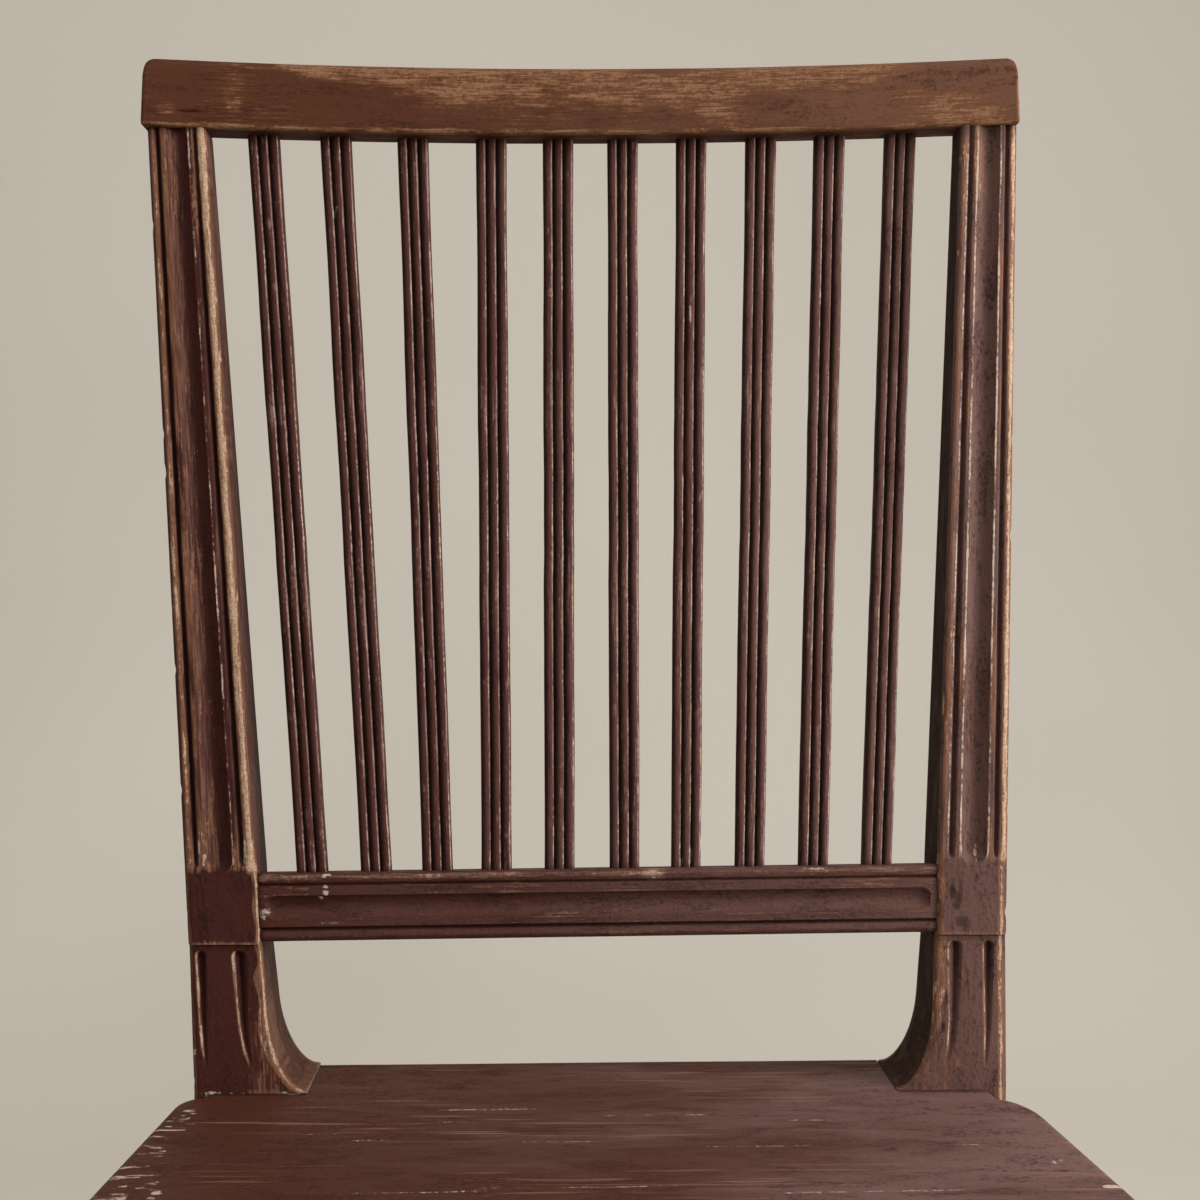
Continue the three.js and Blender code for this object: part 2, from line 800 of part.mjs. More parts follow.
function legRings(side) {
  const top = legBlockEnd - taperTopMargin;
  const foot = floor + legFluteFoot;
  const heights = stations([
    floor,
    ...legFluteEndShares.map((share) => lerp(foot, top, share)),
    top - taperRunOut,
    top,
    legBlockEnd - blockLipHeight,
    legBlockEnd,
    railTop,
  ]);
  return heights.map((height) => legRing(side, height));
}

function legMiddle(side, height) {
  const lip = height < legBlockEnd ? legLip : 0;
  const half = lip + legSize(height) / 2;
  return point(legOuter(side) - side * half, legFront + half, height);
}

// Seat rails, with a scratched bead along the lower edge of the outer face
function seatRailOutline() {
  const beadTop = seatRailHeight - seatRailBead;
  return [
    [0, 0],
    [0, beadTop - seatRailGroove],
    [seatRailGrooveDepth, beadTop - seatRailGroove / 2],
    [0, beadTop],
    ...arris(seatRailBead / 2).map(([deep, up]) => [deep, seatRailHeight - up]),
    [seatRailThickness, seatRailHeight],
    [seatRailThickness, 0],
  ];
}

const railMiddle = railTop - seatRailHeight / 2;
const sideRailFront = legRear + gap;
const rearRailFace = postSeatDepth - seatRailRecess;
const frontRailFace = legFront + seatRailRecess;

function sideRailOuter(side, y) {
  const front = legOuter(side) - side * seatRailRecess;
  const rear = side * (postHalfSpanSeat - seatRailRecess);
  return lerp(front, rear, (y - legRear) / -legRear);
}

function sideRailMiddle(side, y) {
  return point(sideRailOuter(side, y) - (side * seatRailThickness) / 2, y, railMiddle);
}

function sideRailRing(side, y) {
  return seatRailOutline().map(([deep, down]) => {
    return point(sideRailOuter(side, y) - side * deep, y, railTop - down);
  });
}

function acrossRailRing(x, face, inward) {
  return seatRailOutline().map(([deep, down]) => point(x, face + inward * deep, railTop - down));
}

function seatTenon(shoulder, along) {
  const end = shoulder.clone().addScaledVector(along, seatTenonLength);
  return { start: shoulder, end, widthwise: upward, width: seatTenonHeight, thickness: seatTenonThickness };
}

function frontRailEnd(side) {
  return legOuter(side) - side * (legBlockSize + gap);
}

function rearRailEnd(side) {
  return side * (postHalfSpanSeat - footingWidth - gap);
}

// Stretchers
const stretcherLevel = floor + stretcherHeight;

function softOutline(width, tall) {
  const side = width / 2;
  const top = tall / 2;
  const sideFlat = side - stretcherArris;
  const topFlat = top - stretcherArris;
  const half = [[side, -topFlat], [side, topFlat], [sideFlat, top], [-sideFlat, top]];
  return [...half, ...half.map(([aside, up]) => [-aside, -up])];
}

function sideStretcherRings(side) {
  const ends = [legMiddle(side, stretcherLevel), postMiddle(side, stretcherLevel)];
  return ends.map((end) => softOutline(stretcherThick, stretcherTall).map(([aside, up]) => {
    return point(end.x + aside, end.y, end.z + up);
  }));
}

function stretcherLine(side) {
  return [legMiddle(side, stretcherLevel), postMiddle(side, stretcherLevel)];
}

// Point on the middle of a side stretcher, at a share of the way from the front leg to the rear leg.
function stretcherPoint(side, share) {
  const [front, rear] = stretcherLine(side);
  return front.lerp(rear, share);
}

function crossStretcherRings() {
  return sides.map((side) => {
    const end = stretcherPoint(side, crossPlaceShare);
    return softOutline(crossThick, crossTall).map(([behind, up]) => point(end.x, end.y + behind, end.z + up));
  });
}

function stretcherTenon(shoulder, toward, length) {
  const along = toward.clone().sub(shoulder).normalize();
  const end = shoulder.clone().addScaledVector(along, length);
  return { start: shoulder, end, widthwise: upward, width: stretcherTenonTall, thickness: stretcherTenonThick };
}

function frontStretcherTenon(side) {
  const [front, rear] = stretcherLine(side);
  const share = legSize(stretcherLevel) / 2 / (rear.y - front.y);
  return stretcherTenon(stretcherPoint(side, share), front, stretcherTenonLength);
}

function rearStretcherTenon(side) {
  const [front, rear] = stretcherLine(side);
  const share = 1 - postDepth(stretcherLevel) / 2 / (rear.y - front.y);
  return stretcherTenon(stretcherPoint(side, share), rear, stretcherTenonLength);
}

function crossTenon(side) {
  const end = stretcherPoint(side, crossPlaceShare);
  const shoulder = end.clone();
  shoulder.x -= (side * stretcherThick) / 2;
  return stretcherTenon(shoulder, end, crossTenonLength);
}

// Tenons of the back and of the seat frame, one set for each side
function crestTenon(side) {
  const height = crestBase + crestLift(side * crestHalfLength);
  const start = postMiddle(side, height);
  const along = start.clone().sub(postMiddle(side, height - crestHeight)).normalize();
  const end = start.clone().addScaledVector(along, crestTenonLength);
  return { start, end, widthwise: across, width: crestTenonWidth, thickness: crestTenonThickness };
}

function backRailTenon(side) {
  const height = blockMiddleHeight + (side * backRailTilt) / 2;
  const face = frontPlane(blockMiddleHeight) - blockProud + backRailRecess;
  const depth = backRailThickness / 2;
  const start = point(innerFace(side, height) - side * gap, face + depth, height - rakeSlope * depth);
  const end = start.clone().addScaledVector(across, side * railTenonLength);
  return { start, end, widthwise: upward, width: railTenonHeight, thickness: railTenonThickness };
}

function tenonsOf(side) {
  const sideRailRun = sideRailMiddle(side, 0).sub(sideRailMiddle(side, legRear)).normalize();
  const rearFace = rearRailFace - seatRailThickness / 2;
  const frontFace = frontRailFace + seatRailThickness / 2;
  const outward = across.clone().multiplyScalar(side);
  return {
    crest: crestTenon(side),
    backRail: backRailTenon(side),
    sideRailRear: seatTenon(sideRailMiddle(side, -gap), sideRailRun),
    sideRailFront: seatTenon(sideRailMiddle(side, sideRailFront), sideRailRun.clone().negate()),
    rearRail: seatTenon(point(rearRailEnd(side), rearFace, railMiddle), outward),
    frontRail: seatTenon(point(frontRailEnd(side), frontFace, railMiddle), outward),
    stretcherFront: frontStretcherTenon(side),
    stretcherRear: rearStretcherTenon(side),
    cross: crossTenon(side),
  };
}

const tenons = new Map(sides.map((side) => [side, tenonsOf(side)]));

function middleOf(tenon) {
  return tenon.start.clone().lerp(tenon.end, 1 / 2);
}

// Pegs, each through the middle of a tenon, and every one of them stops inside the wood
function crestPeg(side) {
  const middle = middleOf(tenons.get(side).crest);
  middle.y = crestFace(middle.x, middle.z) + crestThickness;
  return peg(middle, backward.clone().negate(), crestPegLength);
}

function backRailPeg(side) {
  const middle = middleOf(tenons.get(side).backRail);
  middle.y = frontPlane(middle.z) + postDepth(middle.z);
  return peg(middle, backward.clone().negate(), backRailPegLength);
}

function seatPegs(side) {
  const own = tenons.get(side);
  const inward = across.clone().multiplyScalar(-side);
  const atLeg = middleOf(own.sideRailFront).setX(legOuter(side));
  const atPost = middleOf(own.sideRailRear).setX(side * postHalfSpanSeat);
  const atFront = middleOf(own.frontRail).setY(legFront);
  const atBack = middleOf(own.rearRail).setY(postSeatDepth);
  return {
    leg: [peg(atLeg, inward, seatPegLength), peg(atFront, backward, seatPegLength)],
    post: [peg(atPost, inward, seatPegLength), peg(atBack, backward.clone().negate(), seatPegLength)],
  };
}

function stretcherPegs(side) {
  const own = tenons.get(side);
  const inward = across.clone().multiplyScalar(-side);
  const atLeg = middleOf(own.stretcherFront).setX(legOuter(side) - side * legLip);
  const atPost = middleOf(own.stretcherRear).setX(side * postHalfSpanSeat);
  return {
    leg: [peg(atLeg, inward, stretcherPegLength)],
    post: [peg(atPost, inward, stretcherPegLength)],
  };
}

const crestPegs = sides.map(crestPeg);
const backRailPegs = sides.map(backRailPeg);
const seatPegSets = new Map(sides.map((side) => [side, seatPegs(side)]));
const stretcherPegSets = new Map(sides.map((side) => [side, stretcherPegs(side)]));

// Nails that hold the board down on the rails
function nailPlaces() {
  const onSides = sides.flatMap((side) => nailSidePlaceShares.map((share) => {
    const place = sideRailMiddle(side, lerp(sideRailFront, -gap, share));
    return side < 0 ? place.addScaledVector(across, nailLeftInward) : place;
  }));
  const onFront = nailAcrossPlaceShares.map((share) => {
    const x = lerp(frontRailEnd(-1), frontRailEnd(1), share);
    return point(x, frontRailFace + seatRailThickness / 2, 0);
  });
  return [...onSides, ...onFront].map((place) => place.setZ(-nailSunk));
}

function nailLathe(place, spread, above) {
  const profile = [
    new THREE.Vector2(0, -nailLength - spread),
    new THREE.Vector2(nailShankRadius / 3 + spread, -nailLength - spread),
    new THREE.Vector2(nailShankRadius + spread, -nailLength / 2),
    new THREE.Vector2(nailShankRadius + spread, -nailHeadThickness - spread),
    new THREE.Vector2(nailHeadRadius + spread, -nailHeadThickness - spread),
    new THREE.Vector2(nailHeadRadius + spread, above),
    new THREE.Vector2(0, above),
  ];
  const geometry = new THREE.LatheGeometry(profile, 6);
  geometry.rotateX(Math.PI / 2);
  geometry.translate(place.x, place.y, place.z);
  return solidFrom(geometry);
}

const nails = nailPlaces();
const nailHoles = nails.map((place) => nailLathe(place, gap, overrun));

// The pieces
function backPost(side) {
  const own = tenons.get(side);
  const pegs = [crestPegs, backRailPegs].map((pair) => pair[sides.indexOf(side)]);
  const mortises = [own.backRail, own.sideRailRear, own.rearRail, own.stretcherRear].map(mortiseSolid);
  const holes = [...pegs, ...seatPegSets.get(side).post, ...stretcherPegSets.get(side).post].map(pegHole);
  const whole = cut(loft(postRings(side)), [spaceAboveSlats()]).add(tenonSolid(own.crest));
  return cut(whole, [...mortises, ...holes]);
}

function crestRail() {
  const mortises = [...sides.map((side) => tenons.get(side).crest), ...slats.map((slat) => slat.topTenon)];
  return cut(loft(crestRings()), [...mortises.map(mortiseSolid), ...crestPegs.map(pegHole)]);
}

function backRail() {
  const ends = sides.map((side) => tenonSolid(tenons.get(side).backRail));
  const mortises = slats.map((slat) => mortiseSolid(slat.footTenon));
  return cut(joined([loft(backRailRings()), ...ends]), [...mortises, ...backRailPegs.map(pegHole)]);
}

function seatBoard() {
  return cut(loft(boardRings()), [...sides.map(boardNotch), ...nailHoles]);
}

function frontRail() {
  const rings = sides.map((side) => acrossRailRing(frontRailEnd(side), frontRailFace, 1));
  const ends = sides.map((side) => tenonSolid(tenons.get(side).frontRail));
  const holes = sides.map((side) => pegHole(seatPegSets.get(side).leg[1]));
  return cut(joined([loft(rings), ...ends]), [...holes, ...nailHoles]);
}

function rearRail() {
  const rings = sides.map((side) => acrossRailRing(rearRailEnd(side), rearRailFace, -1));
  const ends = sides.map((side) => tenonSolid(tenons.get(side).rearRail));
  const holes = sides.map((side) => pegHole(seatPegSets.get(side).post[1]));
  return cut(joined([loft(rings), ...ends]), holes);
}

function sideRail(side) {
  const own = tenons.get(side);
  const rings = [sideRailRing(side, sideRailFront), sideRailRing(side, -gap)];
  const ends = [own.sideRailFront, own.sideRailRear].map(tenonSolid);
  const pegs = [seatPegSets.get(side).leg[0], seatPegSets.get(side).post[0]];
  return cut(joined([loft(rings), ...ends]), [...pegs.map(pegHole), ...nailHoles]);
}

function frontLeg(side) {
  const own = tenons.get(side);
  const mortises = [own.sideRailFront, own.frontRail, own.stretcherFront].map(mortiseSolid);
  const holes = [...seatPegSets.get(side).leg, ...stretcherPegSets.get(side).leg].map(pegHole);
  return cut(loft(legRings(side)), [...mortises, ...holes]);
}

function sideStretcher(side) {
  const own = tenons.get(side);
  const atLeg = loft(shifted(legRings(side), backward.clone().multiplyScalar(gap)));
  const atPost = loft(shifted(postRings(side), backward.clone().multiplyScalar(-gap)));
  const body = cut(loft(sideStretcherRings(side)), [atLeg, atPost]);
  const ends = [own.stretcherFront, own.stretcherRear].map(tenonSolid);
  const pegs = [...stretcherPegSets.get(side).leg, ...stretcherPegSets.get(side).post];
  return cut(joined([body, ...ends]), [mortiseSolid(own.cross), ...pegs.map(pegHole)]);
}

function crossStretcher() {
  const walls = sides.map((side) => {
    return loft(shifted(sideStretcherRings(side), across.clone().multiplyScalar(-side * gap)));
  });
  const ends = sides.map((side) => tenonSolid(tenons.get(side).cross));
  return joined([cut(loft(crossStretcherRings()), walls), ...ends]);
}

// Finishes
const redBrown = { color: 0x5b382f, roughness: 0.62, metalness: 0 };
const wornRedBrown = { color: 0x74493a, roughness: 0.6, metalness: 0 };
const seatRedBrown = { color: 0x57342c, roughness: 0.5, metalness: 0 };
const bareWood = { color: 0x8a5f41, roughness: 0.7, metalness: 0 };
const oldIron = { color: 0x3c2c28, roughness: 0.65, metalness: 0.6 };

const chair = new THREE.Group();

function place(name, solid, finish) {
  const { vertProperties, triVerts } = solid.getMesh();
  const geometry = new THREE.BufferGeometry();
  geometry.setAttribute('position', new THREE.BufferAttribute(vertProperties, 3));
  geometry.setIndex(new THREE.BufferAttribute(triVerts, 1));
  geometry.computeVertexNormals();
  const mesh = new THREE.Mesh(geometry, new THREE.MeshStandardMaterial(finish));
  mesh.name = name;
  chair.add(mesh);
}

function placeEach(name, solids, finish) {
  solids.forEach((solid, index) => place(`${name}_${index + 1}`, solid, finish));
}

place('crest_rail', crestRail(), wornRedBrown);
place('lower_back_rail', backRail(), redBrown);
placeEach('back_slat', slats.map(slatSolid), redBrown);
for (const side of sides) {
  const name = sideNames.get(side);
  place(`${name}_back_post`, backPost(side), redBrown);
  place(`${name}_front_leg`, frontLeg(side), redBrown);
  place(`${name}_seat_rail`, sideRail(side), redBrown);
  place(`${name}_stretcher`, sideStretcher(side), redBrown);
}
place('seat_board', seatBoard(), seatRedBrown);
place('front_seat_rail', frontRail(), redBrown);
place('rear_seat_rail', rearRail(), redBrown);
place('cross_stretcher', crossStretcher(), redBrown);
placeEach('crest_peg', crestPegs.map(pegSolid), bareWood);
placeEach('back_rail_peg', backRailPegs.map(pegSolid), bareWood);
const seatPegList = sides.flatMap((side) => Object.values(seatPegSets.get(side)).flat());
placeEach('seat_rail_peg', seatPegList.map(pegSolid), bareWood);
const stretcherPegList = sides.flatMap((side) => Object.values(stretcherPegSets.get(side)).flat());
placeEach('stretcher_peg', stretcherPegList.map(pegSolid), bareWood);
placeEach('seat_nail', nails.map((nail) => nailLathe(nail, 0, 0)), oldIron);

// The origin moves to the floor, under the middle of the whole chair.
const bounds = new THREE.Box3().setFromObject(chair);
const middle = bounds.getCenter(new THREE.Vector3());
chair.position.set(-middle.x, -middle.y, -bounds.min.z);

export default chair;
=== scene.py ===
import math
import bmesh
import bpy
from mathutils import Matrix, Vector, noise


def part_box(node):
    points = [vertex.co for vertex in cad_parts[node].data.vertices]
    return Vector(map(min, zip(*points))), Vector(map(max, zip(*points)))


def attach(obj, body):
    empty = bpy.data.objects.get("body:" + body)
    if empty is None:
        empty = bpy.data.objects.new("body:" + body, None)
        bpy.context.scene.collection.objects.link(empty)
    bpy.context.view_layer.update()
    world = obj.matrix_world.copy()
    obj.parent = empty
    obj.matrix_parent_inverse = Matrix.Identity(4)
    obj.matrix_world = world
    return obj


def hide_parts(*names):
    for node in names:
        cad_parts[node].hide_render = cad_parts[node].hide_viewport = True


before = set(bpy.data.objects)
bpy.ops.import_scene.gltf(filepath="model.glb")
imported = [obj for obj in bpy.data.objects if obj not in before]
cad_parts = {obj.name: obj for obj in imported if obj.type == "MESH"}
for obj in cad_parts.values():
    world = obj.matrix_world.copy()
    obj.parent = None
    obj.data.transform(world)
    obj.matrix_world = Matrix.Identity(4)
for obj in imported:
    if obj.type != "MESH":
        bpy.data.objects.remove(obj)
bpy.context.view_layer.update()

# Sizes are in millimetres and count from the middle of the seat's rear edge line, at the seat's top:
# x to the right of someone who faces the chair, y from front to back, z up.
SEAT_HEIGHT = 435
CREST_TOP = 476.3
BACK_RUN = 71.7
SIDE_LEAN = 9.5
GAP = 0.3

POST_SPAN_SEAT = 180.6
POST_BLOCK_SPLAY = 3
POST_TOP_SPLAY = 27.5
POST_TOP_WIDTH = 27.5
POST_BLOCK_WIDTH = 32.3
POST_NECK_WIDTH = 32.4
POST_SHIN_WIDTH = 34.6
POST_FLARE_WIDTH = 15.6
POST_FLARE_HEIGHT = 33
POST_TOP_DEPTH = 18.4
POST_BLOCK_DEPTH = 27.8
POST_SEAT_DEPTH = 42.7
POST_OUTER_ARRIS = 3.8
POST_INNER_ARRIS = 2
POST_BACK_ARRIS = 2.4
BLOCK_MIDDLE = 81.2
BLOCK_HEIGHT = 31.4
BLOCK_PROUD = 1.5
BLOCK_LIP = 1

BEAD = 4.4
GROOVE = 2.8
FILLET = 2.6
FLUTE = 11.2
GROOVE_DEPTH = 1.9
FLUTE_DEPTH = 3.2
GROOVE_START = 2
GROOVE_RUN_OUT = 5
MOULDING = 2 * (BEAD + GROOVE + FILLET) + FLUTE

TAPER_OUTER_HALF = 2.9
TAPER_INNER_HALF = 3.7
TAPER_DEPTH = 2.8
TAPER_MARGIN = 3
TAPER_FOOT = 11
TAPER_RUN_OUT = 3
TAPER_PLACES = {-1: (0.17, 0.687), 1: (0.27, 0.735)}     # outer and inner flute, as shares of the width
TAPER_POWER = 0.55
TAPER_SHAPE = 0.9
TAPER_POINT = 0.12
FLUTE_SHAPE = 0.85
FLUTE_POINT = 0.3
JOINT_DIRT = 0.75

LEG_TAIL = 6
REAR_LEG_WIDTH = 37
REAR_LEG_FLARE = 20
REAR_FOOT = 27
REAR_LEG_SWEEP = 42
SWEEP_POWER = 1.6

CREST_HALF = POST_SPAN_SEAT + POST_TOP_SPLAY + 1
CREST_HEIGHT = 34.2
CREST_THICKNESS = 20
CREST_BOW = 17
CREST_PROUD = 3.2
CREST_TILT = 6.8
CREST_ROUND = 6
CREST_CORNER = 5
CREST_BASE = CREST_TOP - CREST_HEIGHT

RAIL_FACE = 29.8
RAIL_THICKNESS = 16
RAIL_RECESS = 1.2
RAIL_TILT = 3.8
RAIL_BEAD = 4.3
RAIL_GROOVE = 2.4
RAIL_FILLET = 3.5
RAIL_FLUTE = 10.2
RAIL_GROOVE_DEPTH = 1.7
RAIL_FLUTE_DEPTH = 2.6
RAIL_FLUTE_STOP = 3
RAIL_ARRIS = 2.2
RAIL_MOULDING = 2 * (RAIL_BEAD + RAIL_GROOVE + RAIL_FILLET) + RAIL_FLUTE

SLAT_TOP_WIDTH = 14.9
SLAT_FOOT_WIDTH = 13.6
SLAT_THICKNESS = 8
REED_DEPTH = 2.1
SLAT_TOP_BACK = 10.5
SLAT_FOOT_BACK = 4.6
SLAT_ENTRY = 1.2
SLAT_TOPS = (0.069, 0.164, 0.267, 0.373, 0.464, 0.552, 0.646, 0.741, 0.834, 0.929)
SLAT_FEET = (0.078, 0.172, 0.262, 0.349, 0.442, 0.538, 0.629, 0.724, 0.819, 0.914)

BOARD_THICKNESS = 20
BOARD_BACK = 43.6
BOARD_SKEW = 3.1
BOARD_FRONT = 372
BOARD_REAR_HALF = POST_SPAN_SEAT + 3.7
BOARD_SPLAY = 31.9
BOARD_CORNER = 24
BOARD_TOP_ROUND = 4
BOARD_LOWER_ROUND = 6
BOARD_BOW = 7
BOARD_BOW_POWER = 8
BOARD_SIDE_OVERHANG = 6
BOARD_FRONT_OVERHANG = 9
EARS = {-1: (10, 5, 10), 1: (11.6, 12.5, 22)}       # drop, start and length of the rear corners' curves

SEAT_RAIL_HEIGHT = 56
SEAT_RAIL_THICKNESS = 22
SEAT_RAIL_RECESS = 2
SEAT_RAIL_BEAD = 5
SEAT_RAIL_GROOVE = 2.6
SEAT_RAIL_GROOVE_DEPTH = 1.6

LEG_BLOCK = 46
LEG_LIP = 1.5
LEG_TOP = 39
LEG_FOOT = 27
LEG_ARRIS = 2.2
LEG_FLUTE_HALF = 3.1
LEG_FLUTE_DEPTH = 2.6
LEG_FLUTE_FOOT = 95
LEG_FLUTES = (0.3, 0.7)

STRETCHER_HEIGHT = 152
STRETCHER_TALL = 27
STRETCHER_THICK = 18
STRETCHER_ARRIS = 2
CROSS_TALL = 24
CROSS_THICK = 17
CROSS_PLACE = 0.5

FLOOR = -SEAT_HEIGHT
RAKE = BACK_RUN / CREST_TOP
RAIL_TOP = -BOARD_THICKNESS - GAP
RAIL_BASE = RAIL_TOP - SEAT_RAIL_HEIGHT
LEG_BLOCK_END = RAIL_BASE - LEG_TAIL
FOOTING = POST_SHIN_WIDTH + POST_FLARE_WIDTH
BOARD_FRONT_HALF = BOARD_REAR_HALF + BOARD_SPLAY
LEG_FRONT = BOARD_BOW + BOARD_FRONT_OVERHANG - BOARD_FRONT
LEG_REAR = LEG_FRONT + LEG_BLOCK
SIDES = (-1, 1)
SIDE_NAMES = {-1: "left", 1: "right"}
MM = 0.001
RIGHTWARD, BACKWARD, UP = Vector((1, 0, 0)), Vector((0, 1, 0)), Vector((0, 0, 1))

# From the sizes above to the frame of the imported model
board_low, board_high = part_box("seat_board")
NOTCH = POST_SPAN_SEAT - FOOTING - GAP
origin = Vector(((board_low.x + board_high.x) / 2,
                 board_high.y - (BOARD_BACK + BOARD_SKEW * NOTCH / BOARD_REAR_HALF) * MM, board_high.z))



# Small helpers
def lerp(start, end, share):
    return start + (end - start) * share


def clamp(value, low=0.0, high=1.0):
    return min(high, max(low, value))


def smooth(share):
    share = clamp(share)
    return share * share * (3 - 2 * share)


def bump(value, middle, half):
    """One at middle, smoothly down to zero at half a width from it."""
    return smooth(1 - abs(value - middle) / half)


def cove(share):
    return 0.0 if share >= 1 else 1 - math.sqrt(1 - (1 - share) ** 2)


def round_end(share):
    share = clamp(share)
    return math.sqrt(1 - (1 - share) ** 2)


def round_drop(distance, radius):
    """How far a rounded edge lies under the face at a distance from its side."""
    distance = max(0.0, distance)
    return 0.0 if distance >= radius else radius - math.sqrt(radius ** 2 - (radius - distance) ** 2)


def uneven(x, y, z, size):
    """Noise about zero whose clouds are about size across."""
    return noise.noise(Vector((x / size, y / size, z / size)))


def nick(x, z, seed, size=9.0):
    """Small chips in an edge: mostly none, here and there up to one."""
    return smooth((uneven(x, seed * 31.7, z, size) - 0.3) / 0.35)


def steps(start, end, spacing):
    """Places from start up to but not including end."""
    count = max(1, math.ceil(abs(end - start) / spacing))
    return [lerp(start, end, index / count) for index in range(count)]


def rising(places, least):
    kept = []
    for place in sorted(places):
        if not kept or place - kept[-1] > least:
            kept.append(place)
    return kept


def quarter(count, first=0):
    """Angles through a quarter turn."""
    return [index / count * math.pi / 2 for index in range(first, count + 1)]


# Meshes. A sample is its place, its wear and painted highlight, its grime and painted shade, its place
# along, across and under the grain, and how much pale filler, chipped ground and painted gleam shows there.
def sample(x, y, z, wear_and_highlight, grime_and_shade, along, across, under, filler_and_gleam=0.0):
    return (x, y, z), clamp(wear_and_highlight, 0, 1.5), clamp(grime_and_shade), (along, across, under), clamp(filler_and_gleam)


class Surface:
    def __init__(self):
        self.samples = []
        self.faces = []

    def ring(self, samples):
        first = len(self.samples)
        self.samples.extend(samples)
        return list(range(first, first + len(samples)))

    def band(self, one, other, closed=True):
        size = len(one)
        for index in range(size if closed else size - 1):
            following = (index + 1) % size
            self.faces.append((one[index], one[following], other[following], other[index]))


def loft(sections):
    """A skin over sections of equally many samples, closed at both ends."""
    surface = Surface()
    rings = [surface.ring(section) for section in sections]
    for one, other in zip(rings, rings[1:]):
        surface.band(one, other)
    surface.faces.append(tuple(reversed(rings[0])))
    surface.faces.append(tuple(rings[-1]))
    return surface


CREASE = math.radians(42)
GRAIN_SHIFT = (0.731, 0.377, 0.213)      # moves the grain of each piece, so that no two are alike


def placed(name, data):
    """A new object in the scene."""
    thing = bpy.data.objects.new(name, data)
    bpy.context.scene.collection.objects.link(thing)
    return thing


def piece(name, surface, material, nodes, seed):
    """One finished piece, with what its paint reads from it: wear and painted highlight, grime and painted
    shade, filler and painted gleam, fade and painted sheen, and grain.
    """
    mesh = bpy.data.meshes.new(name)
    places, wear_and_highlight, grime_and_shade, grain, filler_and_gleam = zip(*surface.samples)
    mesh.from_pydata([origin + Vector(place) * MM for place in places], [], surface.faces)
    # Fade and painted sheen: the paint turns lighter and pinker towards the right, partly faded and partly
    # painted sheen of the light from there
    fade_and_sheen = [clamp(0.5 + x / (2 * CREST_HALF)) for x, _, _ in places]
    for label, values in (("wear_and_highlight", wear_and_highlight), ("grime_and_shade", grime_and_shade), ("filler_and_gleam", filler_and_gleam), ("fade_and_sheen", fade_and_sheen)):
        mesh.attributes.new(label, "FLOAT", "POINT").data.foreach_set("value", values)
    mesh.attributes.new("grain", "FLOAT_VECTOR", "POINT").data.foreach_set("vector", [
        value * MM + seed * move for entry in grain for value, move in zip(entry, GRAIN_SHIFT)])
    mesh.materials.append(material)
    mesh.validate()
    solid = bmesh.new()
    solid.from_mesh(mesh)
    bmesh.ops.recalc_face_normals(solid, faces=solid.faces)
    solid.to_mesh(mesh)
    solid.free()
    mesh.polygons.foreach_set("use_smooth", [True] * len(mesh.polygons))
    mesh.set_sharp_from_angle(angle=CREASE)
    working = placed(name, mesh)
    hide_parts(*nodes)
    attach(working, "root")


# Marks on the chair's front, the pale ones chips, filler and painted glints: x, z, half width, half height,
# strength
PALE_MARKS_AND_GLINTS = (
    (-124.6, 92.8, 1.2, 0.7, 0.9), (-122.6, 93.6, 0.9, 0.5, 0.8), (-124.4, 88.4, 0.5, 0.8, 0.8),
    (-124.9, 85.6, 0.9, 1, 1), (-126, 83.2, 0.4, 0.9, 0.7), (-10.7, 96.5, 1.3, 0.7, 0.9),
    (-151.5, 77, 2.8, 2, 0.45), (-122.6, 72.6, 4, 0.5, 0.45), (-129.5, 401.8, 1, 1.6, 0.8),
    (-128.4, 404, 0.9, 0.6, 0.7), (35.6, 98, 1, 1.3, 0.7), (39.6, 102, 0.7, 4, 0.6),
    (44.8, 107, 0.7, 2.2, 0.7), (42.4, 353.7, 0.6, 5, 0.6), (-46, 406, 0.6, 5, 0.5),
    (-181.2, 106, 0.6, 5, 0.6), (-178.6, 100, 0.8, 3, 0.62), (-160.8, 103, 0.8, 5.5, 0.62),
    (169, 103, 0.8, 3.5, 0.6), (161.8, 102, 0.7, 4, 0.5), (-139.1, 9.2, 0.6, 0.6, 1),
    (-180.2, 17, 0.7, 1.2, 0.6), (96, 96.2, 5, 0.5, 0.5), (186, 92, 0.6, 3, 0.5),
    (184, 104, 0.7, 3, 0.5),
)
WORN_SPOTS = (
    (173.9, 434, 2.4, 11, 0.2), (180.2, 428, 2.6, 18, 0.26), (-190, 425, 4, 26, 0.25),
    (-175.6, 420, 3, 30, 0.25), (-172, 330, 3, 40, 0.2), (149, 13, 8, 12, 0.26), (-150, 14, 7, 22, 0.2),
    (-172, 60, 3, 16, 0.12), (-163, 82, 9, 10, 0.08), (166, 40, 6, 20, 0.08), (158, 80, 10, 14, 0.06),
)
DARK_SPOTS = (
    (157.6, 86, 1.6, 3, 0.75), (159.6, 82, 1.8, 3.4, 0.7), (161.4, 86.6, 1, 3.6, 0.5),
    (161, 73, 2.4, 2.2, 0.65), (163.6, 71.6, 1.4, 2.6, 0.55), (157, 70.6, 1, 1.6, 0.4),
    (-178, 74, 4, 5, 0.3), (154, 40, 0.8, 2.6, 0.75), (152.4, 27, 0.9, 2.2, 0.7),
    (155, 55, 0.8, 1.6, 0.7), (153.4, 18, 0.8, 1.6, 0.6), (154.4, 61, 1.2, 1, 0.6),
    (-196, 425, 3, 10, 0.3), (188.6, 22, 0.8, 2.4, 0.5), (189, 12, 0.7, 2, 0.5),
)
MARK_REACH = 1.9
MARK_EDGE = 1.35
MARK_BLUR = 0.5
MARK_RAGGED = 0.8


